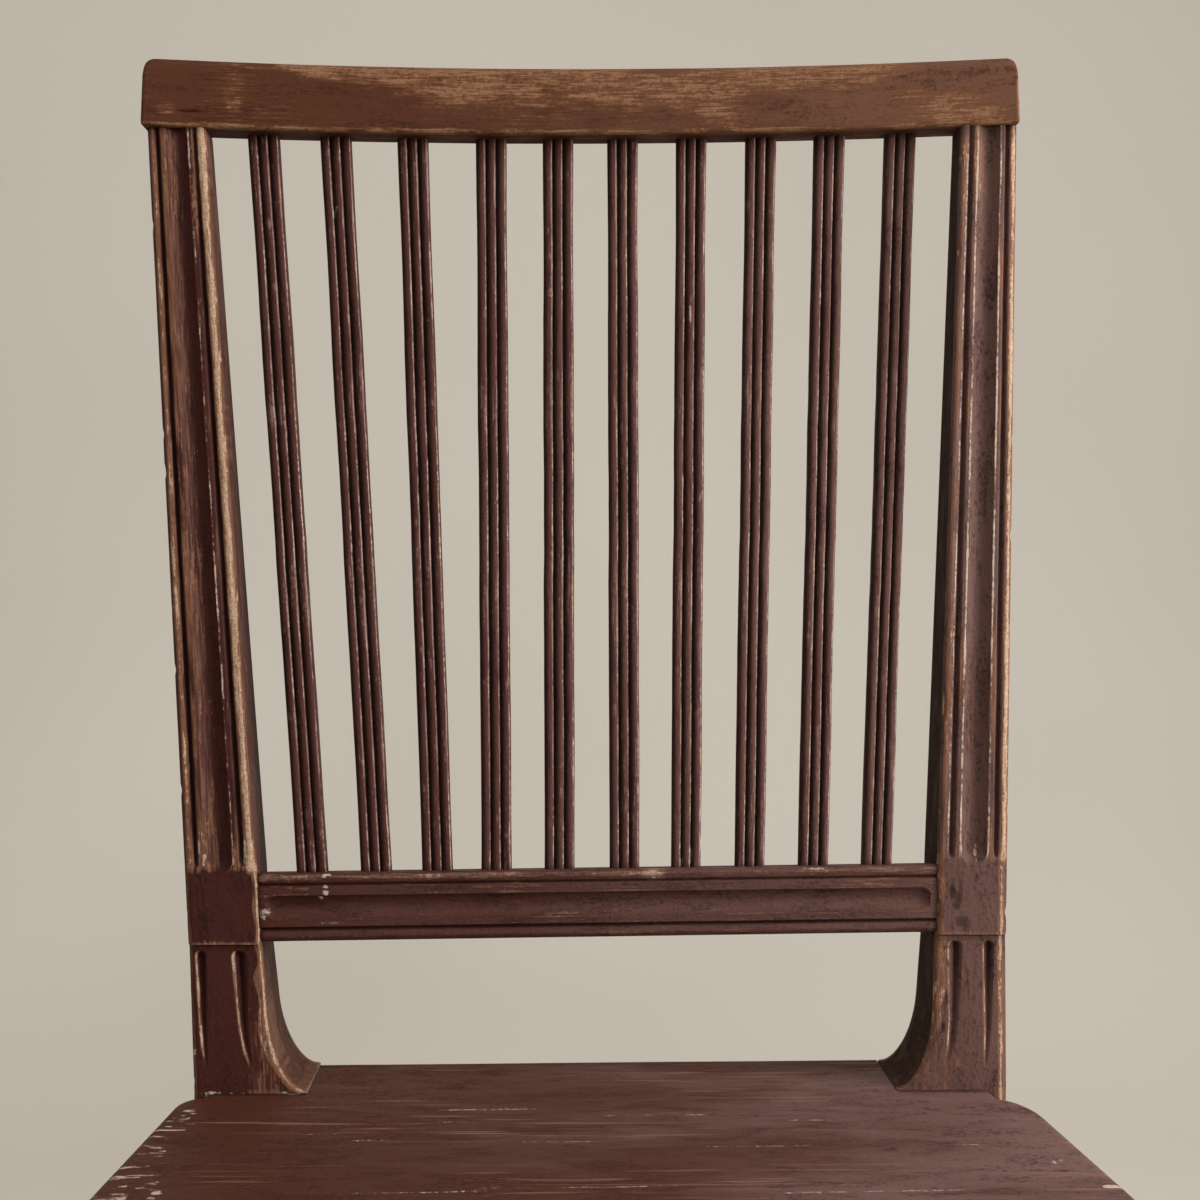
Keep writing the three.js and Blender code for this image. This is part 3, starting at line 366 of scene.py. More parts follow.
def marked(x, z, marks):
    """The strongest of the marks at a place, with ragged outlines."""
    most = 0.0
    for middle_x, middle_z, half_x, half_z, strength in marks:
        if abs(x - middle_x) < half_x * MARK_REACH and abs(z - middle_z) < half_z * MARK_REACH:
            reach = math.hypot((x - middle_x) / half_x, (z - middle_z) / half_z)
            reach += MARK_RAGGED * uneven(x, strength * 40, z, 1.9)
            most = max(most, strength * smooth((MARK_EDGE - reach) / MARK_BLUR))
    return most


# Back posts
def block_base(side):
    return BLOCK_MIDDLE + side * RAIL_TILT / 2 - BLOCK_HEIGHT / 2


def leg_fall(height):
    """How far down the leg under the block a height is, from 0 to 1 at the floor."""
    return (LEG_BLOCK_END - height) / (LEG_BLOCK_END - FLOOR)


def front_plane(height):
    if height >= 0:
        return height * RAKE
    fall = leg_fall(height)
    return REAR_LEG_SWEEP * fall ** SWEEP_POWER if fall > 0 else 0.0


def side_lean(height):
    return -height * SIDE_LEAN / CREST_TOP if height > 0 else 0.0


def half_span(side, height):
    knee = block_base(side)
    if height <= 0:
        return POST_SPAN_SEAT
    if height < knee:
        return POST_SPAN_SEAT + POST_BLOCK_SPLAY * height / knee
    return POST_SPAN_SEAT + lerp(POST_BLOCK_SPLAY, POST_TOP_SPLAY, (height - knee) / (CREST_BASE - knee))


def post_width(side, height):
    base = block_base(side)
    top = base + BLOCK_HEIGHT
    if height >= top:
        return lerp(POST_BLOCK_WIDTH, POST_TOP_WIDTH, (height - top) / (CREST_BASE - top))
    if height >= base:
        return POST_BLOCK_WIDTH
    if height >= 0:
        flare = POST_FLARE_WIDTH * cove(height / POST_FLARE_HEIGHT)
        return lerp(POST_SHIN_WIDTH, POST_NECK_WIDTH, height / base) + flare
    if height >= LEG_BLOCK_END:
        return FOOTING
    flare = cove((LEG_BLOCK_END - height) / REAR_LEG_FLARE)
    return lerp(REAR_LEG_WIDTH, REAR_FOOT, leg_fall(height)) + (FOOTING - REAR_LEG_WIDTH) * flare


def post_depth(height):
    rise = (height - BLOCK_MIDDLE) / (CREST_BASE - BLOCK_MIDDLE)
    if rise >= 0:
        return lerp(POST_BLOCK_DEPTH, POST_TOP_DEPTH, rise)
    if height >= 0:
        return lerp(POST_SEAT_DEPTH, POST_BLOCK_DEPTH, height / BLOCK_MIDDLE)
    if height >= LEG_BLOCK_END:
        return POST_SEAT_DEPTH
    return lerp(POST_SEAT_DEPTH, REAR_FOOT, leg_fall(height))


def post_proud(side, height):
    return BLOCK_PROUD * clamp((height - block_base(side)) / BLOCK_LIP + 1)


def quirk(distance, half, depth):
    """A narrow groove with soft lips: its depth and how dark it is with dirt and painted shade."""
    reach = abs(distance) / half
    if reach >= 1.3:
        return 0.0, 0.0
    return depth * smooth(1.25 - reach) ** 0.8, smooth(1.3 - reach)


# How worn each member of the moulding is, from the outer bead to the inner one, with painted light in it:
# "lit" paints the flute's half towards the light lighter, "groove" sets how dark the grooves are with dirt
# and painted shade, and the gleams are the painted pale sheen at the flute's outer lip, at its inner lip
# and on the inner bead.
MEMBER_WEAR_AND_LIGHT = {
    -1: {"outer": 0.84, "fillet": 0.5, "bed": 0.2, "lit": 0.26, "inner_fillet": 0.34, "inner": 1.34,
         "outer_lip": 0.46, "groove": 0.9, "crest": 0.7, "gleams": (0, 0.43, 0)},
    1: {"outer": 1.08, "fillet": 0.46, "bed": 0.24, "lit": 0.1, "inner_fillet": 0.42, "inner": 0.6,
        "outer_lip": 0.4, "groove": 0.5, "crest": 0.5, "gleams": (0.5, 0.62, 0.48)},
}
GLEAM_HALF = 1.05


def upper_face(side, height, place, width):
    """Depth, wear, grime and painted pale sheen of the moulded face at a place across it, from the outer
    edge;
    the wear holds painted light and the grime painted shade.
    """
    scale = width / MOULDING
    bead = BEAD * scale
    start = block_base(side) + BLOCK_HEIGHT
    grooved = round_end((height - start - GROOVE_START) / GROOVE_RUN_OUT)
    fluted = round_end((height - start) / (FLUTE / 2))
    own = MEMBER_WEAR_AND_LIGHT[side]
    middle = (BEAD + GROOVE / 2) * scale
    half = GROOVE / 2 * scale * lerp(0.4, 0.8, grooved)
    depth = grime_and_shade = 0.0
    # The grooves darken with dirt and painted shade
    for centre in (middle, width - middle):
        cut, dirt_and_shade = quirk(place - centre, half, GROOVE_DEPTH * grooved)
        depth = max(depth, cut)
        grime_and_shade = max(grime_and_shade, dirt_and_shade * grooved * own["groove"])
    from_middle = place - width / 2
    flute_half = FLUTE / 2 * scale * lerp(FLUTE_POINT, 1, fluted)
    reach = abs(from_middle) / flute_half
    if reach < 1:
        depth = max(depth, FLUTE_DEPTH * fluted * (1 - reach ** 2) ** FLUTE_SHAPE)
    outer = place < width / 2
    edge = min(place, width - place)
    # Painted sheen: pale lines along the flute's lips and along the inner bead
    outer_gleam, inner_gleam, bead_gleam = own["gleams"]
    pale = outer_gleam if outer else inner_gleam
    pale *= bump(abs(from_middle), flute_half + 0.6, GLEAM_HALF) * fluted
    if not outer:
        pale = max(pale, bead_gleam * bump(edge, bead * 0.9, GLEAM_HALF) * grooved)
    pale *= 1 + 0.6 * uneven(side * 70 + 9 * outer, 12, height, 18)
    if edge < middle:
        crown = bump(edge, bead * 0.5, bead * 0.6)
        depth += 0.5 * (1 - crown) * grooved * (0 if edge < 1 else 1)
        patchy = (0.34 if outer else 0.16) * uneven(side * 60 + 9 * outer, 4, height, 38)
        worn = bump(edge, bead * (own["crest"] if outer else 0.5), bead * (0.5 if outer else 0.56))
        wear_and_highlight = (own["outer" if outer else "inner"] + patchy) * (0.3 + 0.7 * worn ** 0.8)
    elif reach < 1:
        # Painted light and shade: the flute's half towards the light is lighter, the other half darker
        shaded = smooth(0.5 - side * from_middle / flute_half)
        wear_and_highlight = own["bed"] + own["lit"] * (1 - shaded) + 0.08 * uneven(side * 80, 5, height, 45)
        grime_and_shade = max(grime_and_shade, lerp(0.06, 0.28, shaded) * smooth(1.3 * (1 - reach)) * fluted)
    else:
        wear_and_highlight = own["fillet" if outer else "inner_fillet"]
        wear_and_highlight += 0.3 * uneven(side * 45 + 9 * outer, 6, height, 42)
    if outer:
        wear_and_highlight = max(wear_and_highlight, own["outer_lip"] * bump(abs(from_middle), flute_half + 0.5, 0.9) * fluted)
    block = smooth((start + 3 - height) / 6)
    return depth, lerp(wear_and_highlight, 0.14, block), lerp(grime_and_shade, 0.1, block), pale


def tapering(height, foot, top):
    """How open a tapering flute is, from its pointed foot to its round top."""
    rise = clamp((height - foot) / (top - foot))
    return rise ** TAPER_POWER * round_end((top - height) / TAPER_RUN_OUT)


def lower_face(side, height, place, width):
    """The same for the face under the block, with its two tapering flutes: a painted highlight on the slope
    towards the light and painted shade on the other.
    """
    opened = tapering(height, TAPER_FOOT, block_base(side) - TAPER_MARGIN)
    depth = pale = 0.0
    grime_and_shade = 0.06
    wear_and_highlight = 0.2 + 0.1 * uneven(place * 2, side * 15, height, 24)
    for share, wide in zip(TAPER_PLACES[side], (TAPER_OUTER_HALF, TAPER_INNER_HALF)):
        half = wide * lerp(TAPER_POINT, 1, opened)
        distance = place - share * width
        reach = abs(distance) / half
        # The slope that faces the light gets a painted highlight, the other slope painted shade
        lit = distance * side > 0
        if reach < 1:
            depth = max(depth, TAPER_DEPTH * opened * (1 - reach) ** TAPER_SHAPE)
            grime_and_shade = max(grime_and_shade, smooth(1.6 * (1 - reach)) * opened * (0.25 if lit else 0.95))
        if lit:
            bright = (0.8 + 0.7 * uneven(share * 90, side * 22, height, 16)) * smooth(2.4 * opened)
            wear_and_highlight = max(wear_and_highlight, bright * bump(abs(distance), half * 0.72, 1.25))
            pale = max(pale, 0.5 * bright * bump(abs(distance), half * 0.66, 0.8))
        else:
            wear_and_highlight = max(wear_and_highlight, 0.42 * bump(abs(distance), half + 0.5, 1) * opened)
    return depth, wear_and_highlight, grime_and_shade, pale


# Bare wood along the arrises of the block and below it
ARRIS_WEAR = {
    -1: {"outer": 0.5, "outer_place": 1.5, "outer_half": 2.2,
         "inner": 0.58, "inner_width": 4.4, "arris": 0.92},
    1: {"outer": 0.94, "outer_place": 3.3, "outer_half": 2.8,
        "inner": 0.67, "inner_width": 5.6, "arris": 0.5},
}
ARRIS_HALF = 1.5


def inner_band(side, height):
    """The worn band by the inner arris; the right post has none at its foot."""
    return ARRIS_WEAR[side]["inner"] * (smooth((height - 16) / 16) if side > 0 else 1)


def post_face(side, height, place, width):
    base = block_base(side)
    if height >= base:
        depth, wear_and_highlight, grime_and_shade, pale = upper_face(side, height, place, width)
    elif height >= 0:
        depth, wear_and_highlight, grime_and_shade, pale = lower_face(side, height, place, width)
    else:
        depth, wear_and_highlight, grime_and_shade, pale = 0.0, 0.25, 0.1, 0.0
    inward = width - place
    block_top = base + BLOCK_HEIGHT
    if height < block_top + 4:
        ragged = 1 + 0.5 * uneven(place / 3, side * 40, height, 11)
        narrow = 0.7 if height > base else 1
        band = inner_band(side, height) + 0.22 * uneven(inward, side * 33, height, 6)
        own = ARRIS_WEAR[side]
        wear_and_highlight = max(wear_and_highlight, own["outer"] * bump(place, own["outer_place"], own["outer_half"] * ragged),
                   band * smooth((own["inner_width"] * ragged * narrow - inward) / 1.4),
                   own["arris"] * bump(inward, 0.5, ARRIS_HALF * ragged))
    if height < base + 4:
        wear_and_highlight = max(wear_and_highlight, 0.66 * bump(height, base + 0.4, 1.5))
        # Painted shadow: a dark line just under the block's lip
        grime_and_shade = max(grime_and_shade, 0.85 * bump(height, base - 2, 1.5))
    on_block = smooth(height - base + 1) * smooth((block_top + 5 - height) / 5)
    inner_arris = POST_INNER_ARRIS * (1 + on_block * 0.4)
    depth += round_drop(place, POST_OUTER_ARRIS) + round_drop(inward, inner_arris)
    return depth, wear_and_highlight, grime_and_shade, pale


def foot_caulk(side, x, deep, height):
    """Old cream filler where the left post's foot meets the seat, thin and ragged."""
    if side > 0 or height < -0.1:
        return 0.0
    if deep > 3:
        return 0.46 * (1 + 0.7 * uneven(x, deep, 7, 9)) if height < 0.1 else 0.0
    broken = smooth((uneven(x * 1.4, deep, 3, 4) + 0.15) / 0.3)
    thick = max(bump(x, -172, 9), 0.9 * bump(x, -141, 5), 0.6 * bump(x, -132.5, 7))
    tall = 0.25 + 0.75 * thick + 0.5 * uneven(x * 2, deep * 2, 5, 4)
    return max(0.58 * thick, 0.36 * broken) * smooth((tall - height) / 0.4)


FRONT_COLUMNS = 96
SIDE_COLUMNS = 18
REAR_COLUMNS = 10
# Painted shade on each post's inner side face, darkest on the right post's
POST_SIDE_SHADE = {-1: 0.3, 1: 0.85}


def post_columns(side, height, depth):
    """Places round a post from its outer front edge, each with its depth, wear, grime and paleness, with
    painted light, shade and sheen among them.
    """
    width = post_width(side, height)
    wobble = 0.24 * uneven(side * 90, 0, height, 34) + 0.12 * uneven(side * 90, 7, height, 9)
    columns = []
    for index in range(FRONT_COLUMNS + 1):
        place = width * index / FRONT_COLUMNS
        under, wear_and_highlight, grime_and_shade, pale = post_face(side, height, place, width)
        ripple = 0.18 * uneven(place * 3, side * 50, height, 22)
        ripple += 0.08 * uneven(place * 3, side * 70, height, 5)
        chip = nick(place, height, side + 3)
        edge = max(bump(place, 0, 2.6), bump(width - place, 0, 2.2))
        shift = wobble * (1 if index else 0.6) * bump(place, width / 2, width / 2)
        columns.append((place + shift + 0.5 * chip * edge * (1 if place < 5 else -1),
                        under + (ripple + 0.55 * chip * edge), max(wear_and_highlight, chip * edge), grime_and_shade, pale))
    outer_cut, inner_cut = columns[0][1], columns[-1][1]
    arris = POST_BACK_ARRIS
    back = depth - arris
    for index in range(1, SIDE_COLUMNS):
        deep = lerp(inner_cut, back, index / SIDE_COLUMNS)
        rough = 0.15 * uneven(side * 20, deep * 2, height, 15)
        wear_and_highlight = 0.4 + 0.3 * bump(deep, inner_cut, 2.5)
        # The inner side face is darkened with painted shade
        columns.append((width - max(0.0, rough), deep, wear_and_highlight, POST_SIDE_SHADE[side], 0.0))
    columns += [(width - arris * (1 - math.cos(turn)), back + arris * math.sin(turn), 0.5, 0.1, 0.0)
                for turn in quarter(3)]
    columns += [(lerp(width - arris, arris, index / REAR_COLUMNS), depth, 0.2, 0.15, 0.0)
                for index in range(1, REAR_COLUMNS)]
    columns += [(arris * (1 - math.sin(turn)), back + arris * math.cos(turn), 0.5, 0.1, 0.0)
                for turn in quarter(3)]
    for index in range(1, SIDE_COLUMNS):
        deep = lerp(back, outer_cut, index / SIDE_COLUMNS)
        rough = 0.15 * uneven(side * 35, deep * 2, height, 15)
        columns.append((max(0.0, rough), deep, 0.26 + 0.3 * bump(deep, outer_cut, 2.5), 0.15, 0.0))
    return columns


def post_section(side, height, under_crest=False):
    proud = post_proud(side, height)
    depth = post_depth(height) + proud
    section = []
    for place, deep, wear_and_highlight, grime_and_shade, pale in post_columns(side, height, depth):
        x = side_lean(height) + side * (half_span(side, height) - place)
        y = front_plane(height) - proud + deep
        z = CREST_BASE + crest_lift(x) - GAP if under_crest else height
        pale = max(pale, foot_caulk(side, x, deep, height))
        # Painted shade on the post just under the crest rail
        grime_and_shade = max(grime_and_shade, 0.6 * smooth((z - CREST_BASE - crest_lift(x) + 5) / 5))
        if deep < depth / 2:
            pale = max(pale, marked(x, z, PALE_MARKS_AND_GLINTS))
            wear_and_highlight += marked(x, z, WORN_SPOTS)
            grime_and_shade = max(grime_and_shade, marked(x, z, DARK_SPOTS))
        if height >= 0:
            wear_and_highlight += 0.12 * smooth(1 - height / 2.2)
        section.append(sample(x, y, z, wear_and_highlight, grime_and_shade, z, place, deep, pale))
    return section


def post_heights(side):
    base = block_base(side)
    top = base + BLOCK_HEIGHT
    taper_top = base - TAPER_MARGIN
    grooves_begin = top + GROOVE_START + GROOVE_RUN_OUT + 1
    return rising([
        *steps(FLOOR, LEG_BLOCK_END - REAR_LEG_FLARE, 9),
        *steps(LEG_BLOCK_END - REAR_LEG_FLARE, LEG_BLOCK_END + 0.5, 1),
        LEG_BLOCK_END, 0,
        *steps(LEG_BLOCK_END + 0.6, 0, 8),
        *steps(0, 2.4, 0.3), *steps(2.4, 6, 0.6),
        *steps(6, taper_top - TAPER_RUN_OUT, 1.5),
        *steps(taper_top - TAPER_RUN_OUT, taper_top, 0.35),
        taper_top, base - BLOCK_LIP, base - BLOCK_LIP / 2, base, base + 0.5,
        *steps(base + 1, top, 1.6),
        *steps(top, grooves_begin, 0.4),
        *steps(grooves_begin, CREST_BASE - 4, 1.8),
    ], 0.2)


def back_post(side):
    sections = [post_section(side, height) for height in post_heights(side)]
    return loft([*sections, post_section(side, CREST_BASE, True)])


# Crest rail
def crest_lift(x):
    return x / CREST_HALF * CREST_TILT / 2


def crest_face(x, height):
    share = (x - side_lean(CREST_BASE)) / CREST_HALF
    return front_plane(height) - BLOCK_PROUD - CREST_PROUD + CREST_BOW * (1 - share ** 2)


# Where worn wood begins above the crest's paint: places along it and shares of its height
WORN_LINE = (
    (-170, 1.25), (-150, 0.76), (-105, 0.47), (-33, 0.34), (40, 0.2), (64, 0.26), (76, 0.5),
    (125, 0.54), (150, 0.8), (165, 1.25),
)
# Lighter and darker patches on it: place, share of the height, half width, half height, strength
CREST_PATCHES = (
    (-177, 0.45, 5, 0.4, 0.17), (-207, 0.25, 5, 0.12, 0.18), (-196, 0.26, 5, 0.1, 0.12),
    (-145, 0.85, 22, 0.2, 0.12), (172, 0.3, 22, 0.34, 0.4), (188, 0.14, 10, 0.2, 0.26),
    (153, 0.5, 14, 0.12, 0.16), (62, 0.2, 12, 0.22, 0.2), (-120, 0.8, 40, 0.1, 0.14),
    (112, 0.42, 6, 0.16, 0.26), (-154, 0.79, 10, 0.08, -0.3), (159, 0.57, 4, 0.06, -0.4),
    (30, 0.93, 18, 0.06, -0.3), (-30, 0.23, 16, 0.1, 0.1), (-60, 0.62, 30, 0.1, 0.1),
    (90, 0.75, 26, 0.14, 0.1),
)


def crest_wear(x, rise):
    """Worn through to wood along the upper part, dark along the foot and at both ends."""
    line = WORN_LINE[-1][1]
    for (start, low), (end, high) in reversed(list(zip(WORN_LINE, WORN_LINE[1:]))):
        if x < end:
            line = lerp(low, high, smooth((x - start) / (end - start)))
    ragged = 0.17 * uneven(x, 11, rise * 34, 24) + 0.09 * uneven(x, 12, rise * 60, 8)
    low = 0.36 + 0.16 * uneven(x, 13, rise * 30, 26)
    wear_and_highlight = lerp(low, 0.74, smooth((rise - line + ragged) / 0.32 + 0.2))
    for middle, level, half, half_rise, strength in CREST_PATCHES:
        reach = math.hypot((x - middle) / half, (rise - level) / half_rise)
        wear_and_highlight += strength * smooth(1.35 - reach + 1.5 * ragged)
    end = side_lean(CREST_TOP) + CREST_HALF - x
    return max(wear_and_highlight, 1.1 * smooth(1.6 - end) * smooth((0.7 - rise) / 0.1))


def crest_arris_wear(x):
    bright = max(1.15 * bump(x, -179, 17), 0.95 * bump(x, 14, 30), 0.74)
    return bright + 0.35 * uneven(x, 5, 0, 13)


CREST_ROWS = 22
CREST_END_ROUND = 1.6


def crest_section(share, inset):
    """The crest's outline at a share of its half length: underneath, up the front, over and down."""
    from_end = CREST_HALF * (1 - abs(share))
    x = side_lean(CREST_TOP) + CREST_HALF * share
    lift = crest_lift(x)
    top = CREST_TOP - CREST_CORNER * cove(from_end / CREST_CORNER) - inset
    base = CREST_BASE + inset
    foot_round = 1.5 + 0.5 * uneven(x, 21, 0, 20)
    outline = []

    def add(deep, height, wear_and_highlight, grime_and_shade=0.0):
        rise = (height - CREST_BASE) / CREST_HEIGHT
        wave = 0.25 * uneven(x, deep * 2, height * 2, 40) + 0.09 * uneven(x, deep * 3, height * 3, 9)
        forward = 1 - 2 * deep / CREST_THICKNESS
        y = crest_face(x, height + lift) + deep + wave * forward + inset * forward
        filler_and_gleam = marked(x, height + lift, PALE_MARKS_AND_GLINTS) if deep < 3 else 0.0
        outline.append(sample(x, y, height + lift, wear_and_highlight, grime_and_shade, x, height, deep + rise, filler_and_gleam))

    def face_wear(height):
        return crest_wear(x, (height - CREST_BASE) / CREST_HEIGHT)

    # Underneath, darkened with painted shade
    for index in range(6):
        deep = lerp(CREST_THICKNESS - 1, foot_round, index / 6)
        add(deep, base, 0.3 + 0.34 * bump(deep, 4, 4), 0.4)
    chip = 0.6 * nick(x, 0, 5, 7)
    for turn in quarter(5):
        deep = foot_round * (1 - math.sin(turn)) + chip * math.sin(turn * 2)
        add(deep, base + foot_round * (1 - math.cos(turn)), crest_arris_wear(x) + 0.3 * chip, 0.1)
    for index in range(1, CREST_ROWS + 1):
        height = lerp(base + foot_round, top - CREST_ROUND, index / CREST_ROWS)
        crack = 0.9 * bump(height + 0.02 * (x + 195), CREST_BASE + 7.6, 0.9) * bump(x, -197, 13)
        scoop = 0.35 * bump((height - CREST_BASE) / CREST_HEIGHT, 0.45, 0.5) * uneven(x, 2, 0, 70)
        add(scoop + crack, height, face_wear(height), 0.9 * crack)
    for turn in quarter(8, 1):
        height = top - CREST_ROUND * (1 - math.sin(turn))
        add(CREST_ROUND * (1 - math.cos(turn)), height, face_wear(height) + 0.06)
    for index in range(1, 4):
        add(lerp(CREST_ROUND, CREST_THICKNESS - CREST_ROUND, index / 4), top, crest_wear(x, 1) + 0.08)
    for turn in quarter(8):
        add(CREST_THICKNESS - CREST_ROUND * (1 - math.sin(turn)),
            top - CREST_ROUND * (1 - math.cos(turn)), 0.4)
    for index in range(1, 9):
        add(CREST_THICKNESS, lerp(top - CREST_ROUND, base + 1, index / 8), 0.16, 0.2)
    return outline


def crest_rail():
    ends = [0, 0.15, 0.45, 0.9, 1.5, 2.2, 3, 4, 5]
    half = [CREST_HALF - place for place in ends] + steps(0, CREST_HALF - 5, 1.6)
    places = rising([*half, *[-place for place in half]], 0.1)
    insets = [CREST_END_ROUND * cove((CREST_HALF - abs(place)) / CREST_END_ROUND) for place in places]
    return loft([crest_section(place / CREST_HALF, inset) for place, inset in zip(places, insets)])


# Lower back rail
def inner_face(side, height):
    return side_lean(height) + side * (half_span(side, height) - POST_BLOCK_WIDTH)


def rail_top_at(x):
    left, right = inner_face(-1, BLOCK_MIDDLE), inner_face(1, BLOCK_MIDDLE)
    return BLOCK_MIDDLE + RAIL_FACE / 2 + RAIL_TILT * ((x - left) / (right - left) - 0.5)


def rail_face(down, from_end, x):
    """Depth, wear and grime of the moulded face at a place down it, with painted light and shade in them.
    """
    scale = RAIL_FACE / RAIL_MOULDING
    opened = round_end((from_end - RAIL_FLUTE_STOP) / (RAIL_FLUTE / 2))
    middle = (RAIL_BEAD + RAIL_GROOVE / 2) * scale
    half = RAIL_GROOVE / 2 * scale
    depth = 0.0
    grime_and_shade = 0.05
    # The grooves darken with dirt and painted shade
    for centre, narrow, shallow, dark in ((middle, 0.6, 0.8, 0.32), (RAIL_FACE - middle, 0.65, 1, 0.48)):
        cut, dirt_and_shade = quirk(down - centre, narrow * half, RAIL_GROOVE_DEPTH)
        depth = max(depth, cut * shallow)
        grime_and_shade = max(grime_and_shade, dark * dirt_and_shade)
    from_middle = down - RAIL_FACE / 2
    flute_half = RAIL_FLUTE / 2 * scale * lerp(FLUTE_POINT, 1, opened)
    reach = abs(from_middle) / flute_half
    edge = min(down, RAIL_FACE - down)
    # Painted light and shade: the flute's upper half is darker and its lower half lighter; both lips are
    # worn, the lower one lighter with a painted highlight
    if reach < 1:
        depth = max(depth, RAIL_FLUTE_DEPTH * opened * (1 - reach ** 2) ** FLUTE_SHAPE)
        grime_and_shade = max(grime_and_shade, 0.08 * smooth((0.1 - from_middle / flute_half) * 1.2) * opened)
    upper = down < RAIL_FACE / 2
    if edge < middle:
        crown = bump(edge, RAIL_BEAD * scale * 0.5, RAIL_BEAD * scale * 0.6)
        depth += 0.4 * (1 - crown) * (0 if edge < 1 else 1)
        wear_and_highlight = (0.66 if upper else 0.42) * (0.4 + 0.6 * crown) + 0.5 * upper * bump(x, 23, 9)
    elif reach < 1:
        wear_and_highlight = 0.22 + 0.16 * smooth(from_middle / flute_half)
    else:
        wear_and_highlight = 0.34 + 0.34 * upper * bump(x, 116, 24)
    wear_and_highlight = max(wear_and_highlight, (0.46 if upper else 0.56) * bump(abs(from_middle), flute_half + 0.5, 1.1) * opened)
    wear_and_highlight += 0.2 * uneven(x, down, 3, 26)
    depth += round_drop(down, RAIL_ARRIS) + round_drop(RAIL_FACE - down, RAIL_ARRIS)
    return depth, wear_and_highlight, grime_and_shade


RAIL_COLUMNS = 84
# Down the moulded face, then underneath, up the back and over: places down it and behind it
RAIL_OUTLINE = (
    *[(RAIL_FACE * index / RAIL_COLUMNS, None) for index in range(RAIL_COLUMNS + 1)],
    *[(RAIL_FACE, lerp(0, RAIL_THICKNESS, index / 6)) for index in range(1, 6)],
    *[(lerp(RAIL_FACE, 0, index / 6), RAIL_THICKNESS) for index in range(7)],
    *[(0, lerp(RAIL_THICKNESS, 0, index / 6)) for index in range(1, 6)],
)


def rail_section(share, from_end):
    section = []
    for down, behind in RAIL_OUTLINE:
        height = BLOCK_MIDDLE + RAIL_FACE / 2 - down
        x = lerp(inner_face(-1, height - RAIL_TILT / 2), inner_face(1, height + RAIL_TILT / 2), share)
        if behind is None:
            deep, wear_and_highlight, grime_and_shade = rail_face(down, from_end, x)
            deep += 0.15 * uneven(x, down * 2, 5, 24) + 0.06 * uneven(x, down * 3, 6, 6)
            chip = nick(x, down / 2, 9, 8) * max(bump(down, 0, 2), bump(RAIL_FACE - down, 0, 2))
            deep += 0.4 * chip
            wear_and_highlight = max(wear_and_highlight, 0.75 * chip)
        else:
            deep, wear_and_highlight, grime_and_shade = max(behind, RAIL_ARRIS), 0.24, 0.3
        y = front_plane(height) - BLOCK_PROUD + RAIL_RECESS + deep
        z = height - RAKE * deep + RAIL_TILT * (share - 0.5)
        dirt_and_shade = max(grime_and_shade, JOINT_DIRT * smooth(1 - from_end / 3))
        filler_and_gleam = marked(x, z, PALE_MARKS_AND_GLINTS) if behind is None else 0.0
        section.append(sample(x, y, z, wear_and_highlight, dirt_and_shade, x, down, deep, filler_and_gleam))
    return section


def lower_rail():
    span = inner_face(1, BLOCK_MIDDLE) - inner_face(-1, BLOCK_MIDDLE)
    near = steps(0, 12, 0.5)
    places = rising([*near, *[span - place for place in near], *steps(12, span - 12, 2)], 0.2)
    return loft([rail_section(place / span, min(place, span - place)) for place in places])


# Slats
def slat_ends(index):
    level = BLOCK_MIDDLE + RAIL_FACE / 2
    top_left, top_right = [side_lean(CREST_BASE) + side * (half_span(side, CREST_BASE) - POST_TOP_WIDTH)
                           for side in SIDES]
    top_x = lerp(top_left, top_right, SLAT_TOPS[index])
    top_z = CREST_BASE + crest_lift(top_x)
    foot_x = lerp(inner_face(-1, level), inner_face(1, level), SLAT_FEET[index])
    foot_z = rail_top_at(foot_x) - RAKE * SLAT_FOOT_BACK
    foot_y = front_plane(foot_z) - BLOCK_PROUD + RAIL_RECESS + SLAT_FOOT_BACK
    top_y = crest_face(top_x, top_z) + SLAT_TOP_BACK
    return Vector((foot_x, foot_y, foot_z)), Vector((top_x, top_y, top_z))


SLAT_ROWS = 170
REED_STEPS = 14
REED_CROWN = 2.1


def reeds(index, height, width, size):
    """The three reeds from left to right: each place with its depth, its wear and painted highlight, its
    grime and painted shade, and its painted gleam.
    """
    for number in range(3):
        patchy = uneven(index * 3.3 + number * 7, height, 7, 42)
        # How strong the painted highlight and gleam along each right shoulder are
        worn = 1.0 + 0.5 * uneven(index * 2.1 + number * 5, height, 17, 30)
        bright = 1 + 0.5 * uneven(index * 4.3 + number * 9, height, 27, 36)
        for step in range(1 if number else 0, REED_STEPS + 1):
            across = step / REED_STEPS
            rise = math.sqrt(max(0.0, 1 - abs(2 * across - 1) ** REED_CROWN))
            # Painted shade on each reed's left side, away from the light, and in the grooves with dirt
            shaded = smooth((0.62 - across) / 0.5) * (0.95 if number else 0.8)
            grime_and_shade = max(shaded, 0.8 * smooth((across - 0.94) / 0.06) * (1 if number < 2 else 0))
            if step in (0, REED_STEPS) and 0 < number + across < 3:
                grime_and_shade = 1.0
            # A painted highlight along the right shoulder, partly worn wood, and a painted gleam beside it
            wear_and_highlight = max(0.34 + 0.3 * patchy, bump(across, 0.85, 0.14) * worn)
            gleam = 0.46 * bump(across, 0.86, 0.13) * bright
            place = number * (width / 3) + across * (width / 3) - width / 2
            yield place, size * REED_DEPTH * (1 - rise), wear_and_highlight, grime_and_shade, gleam


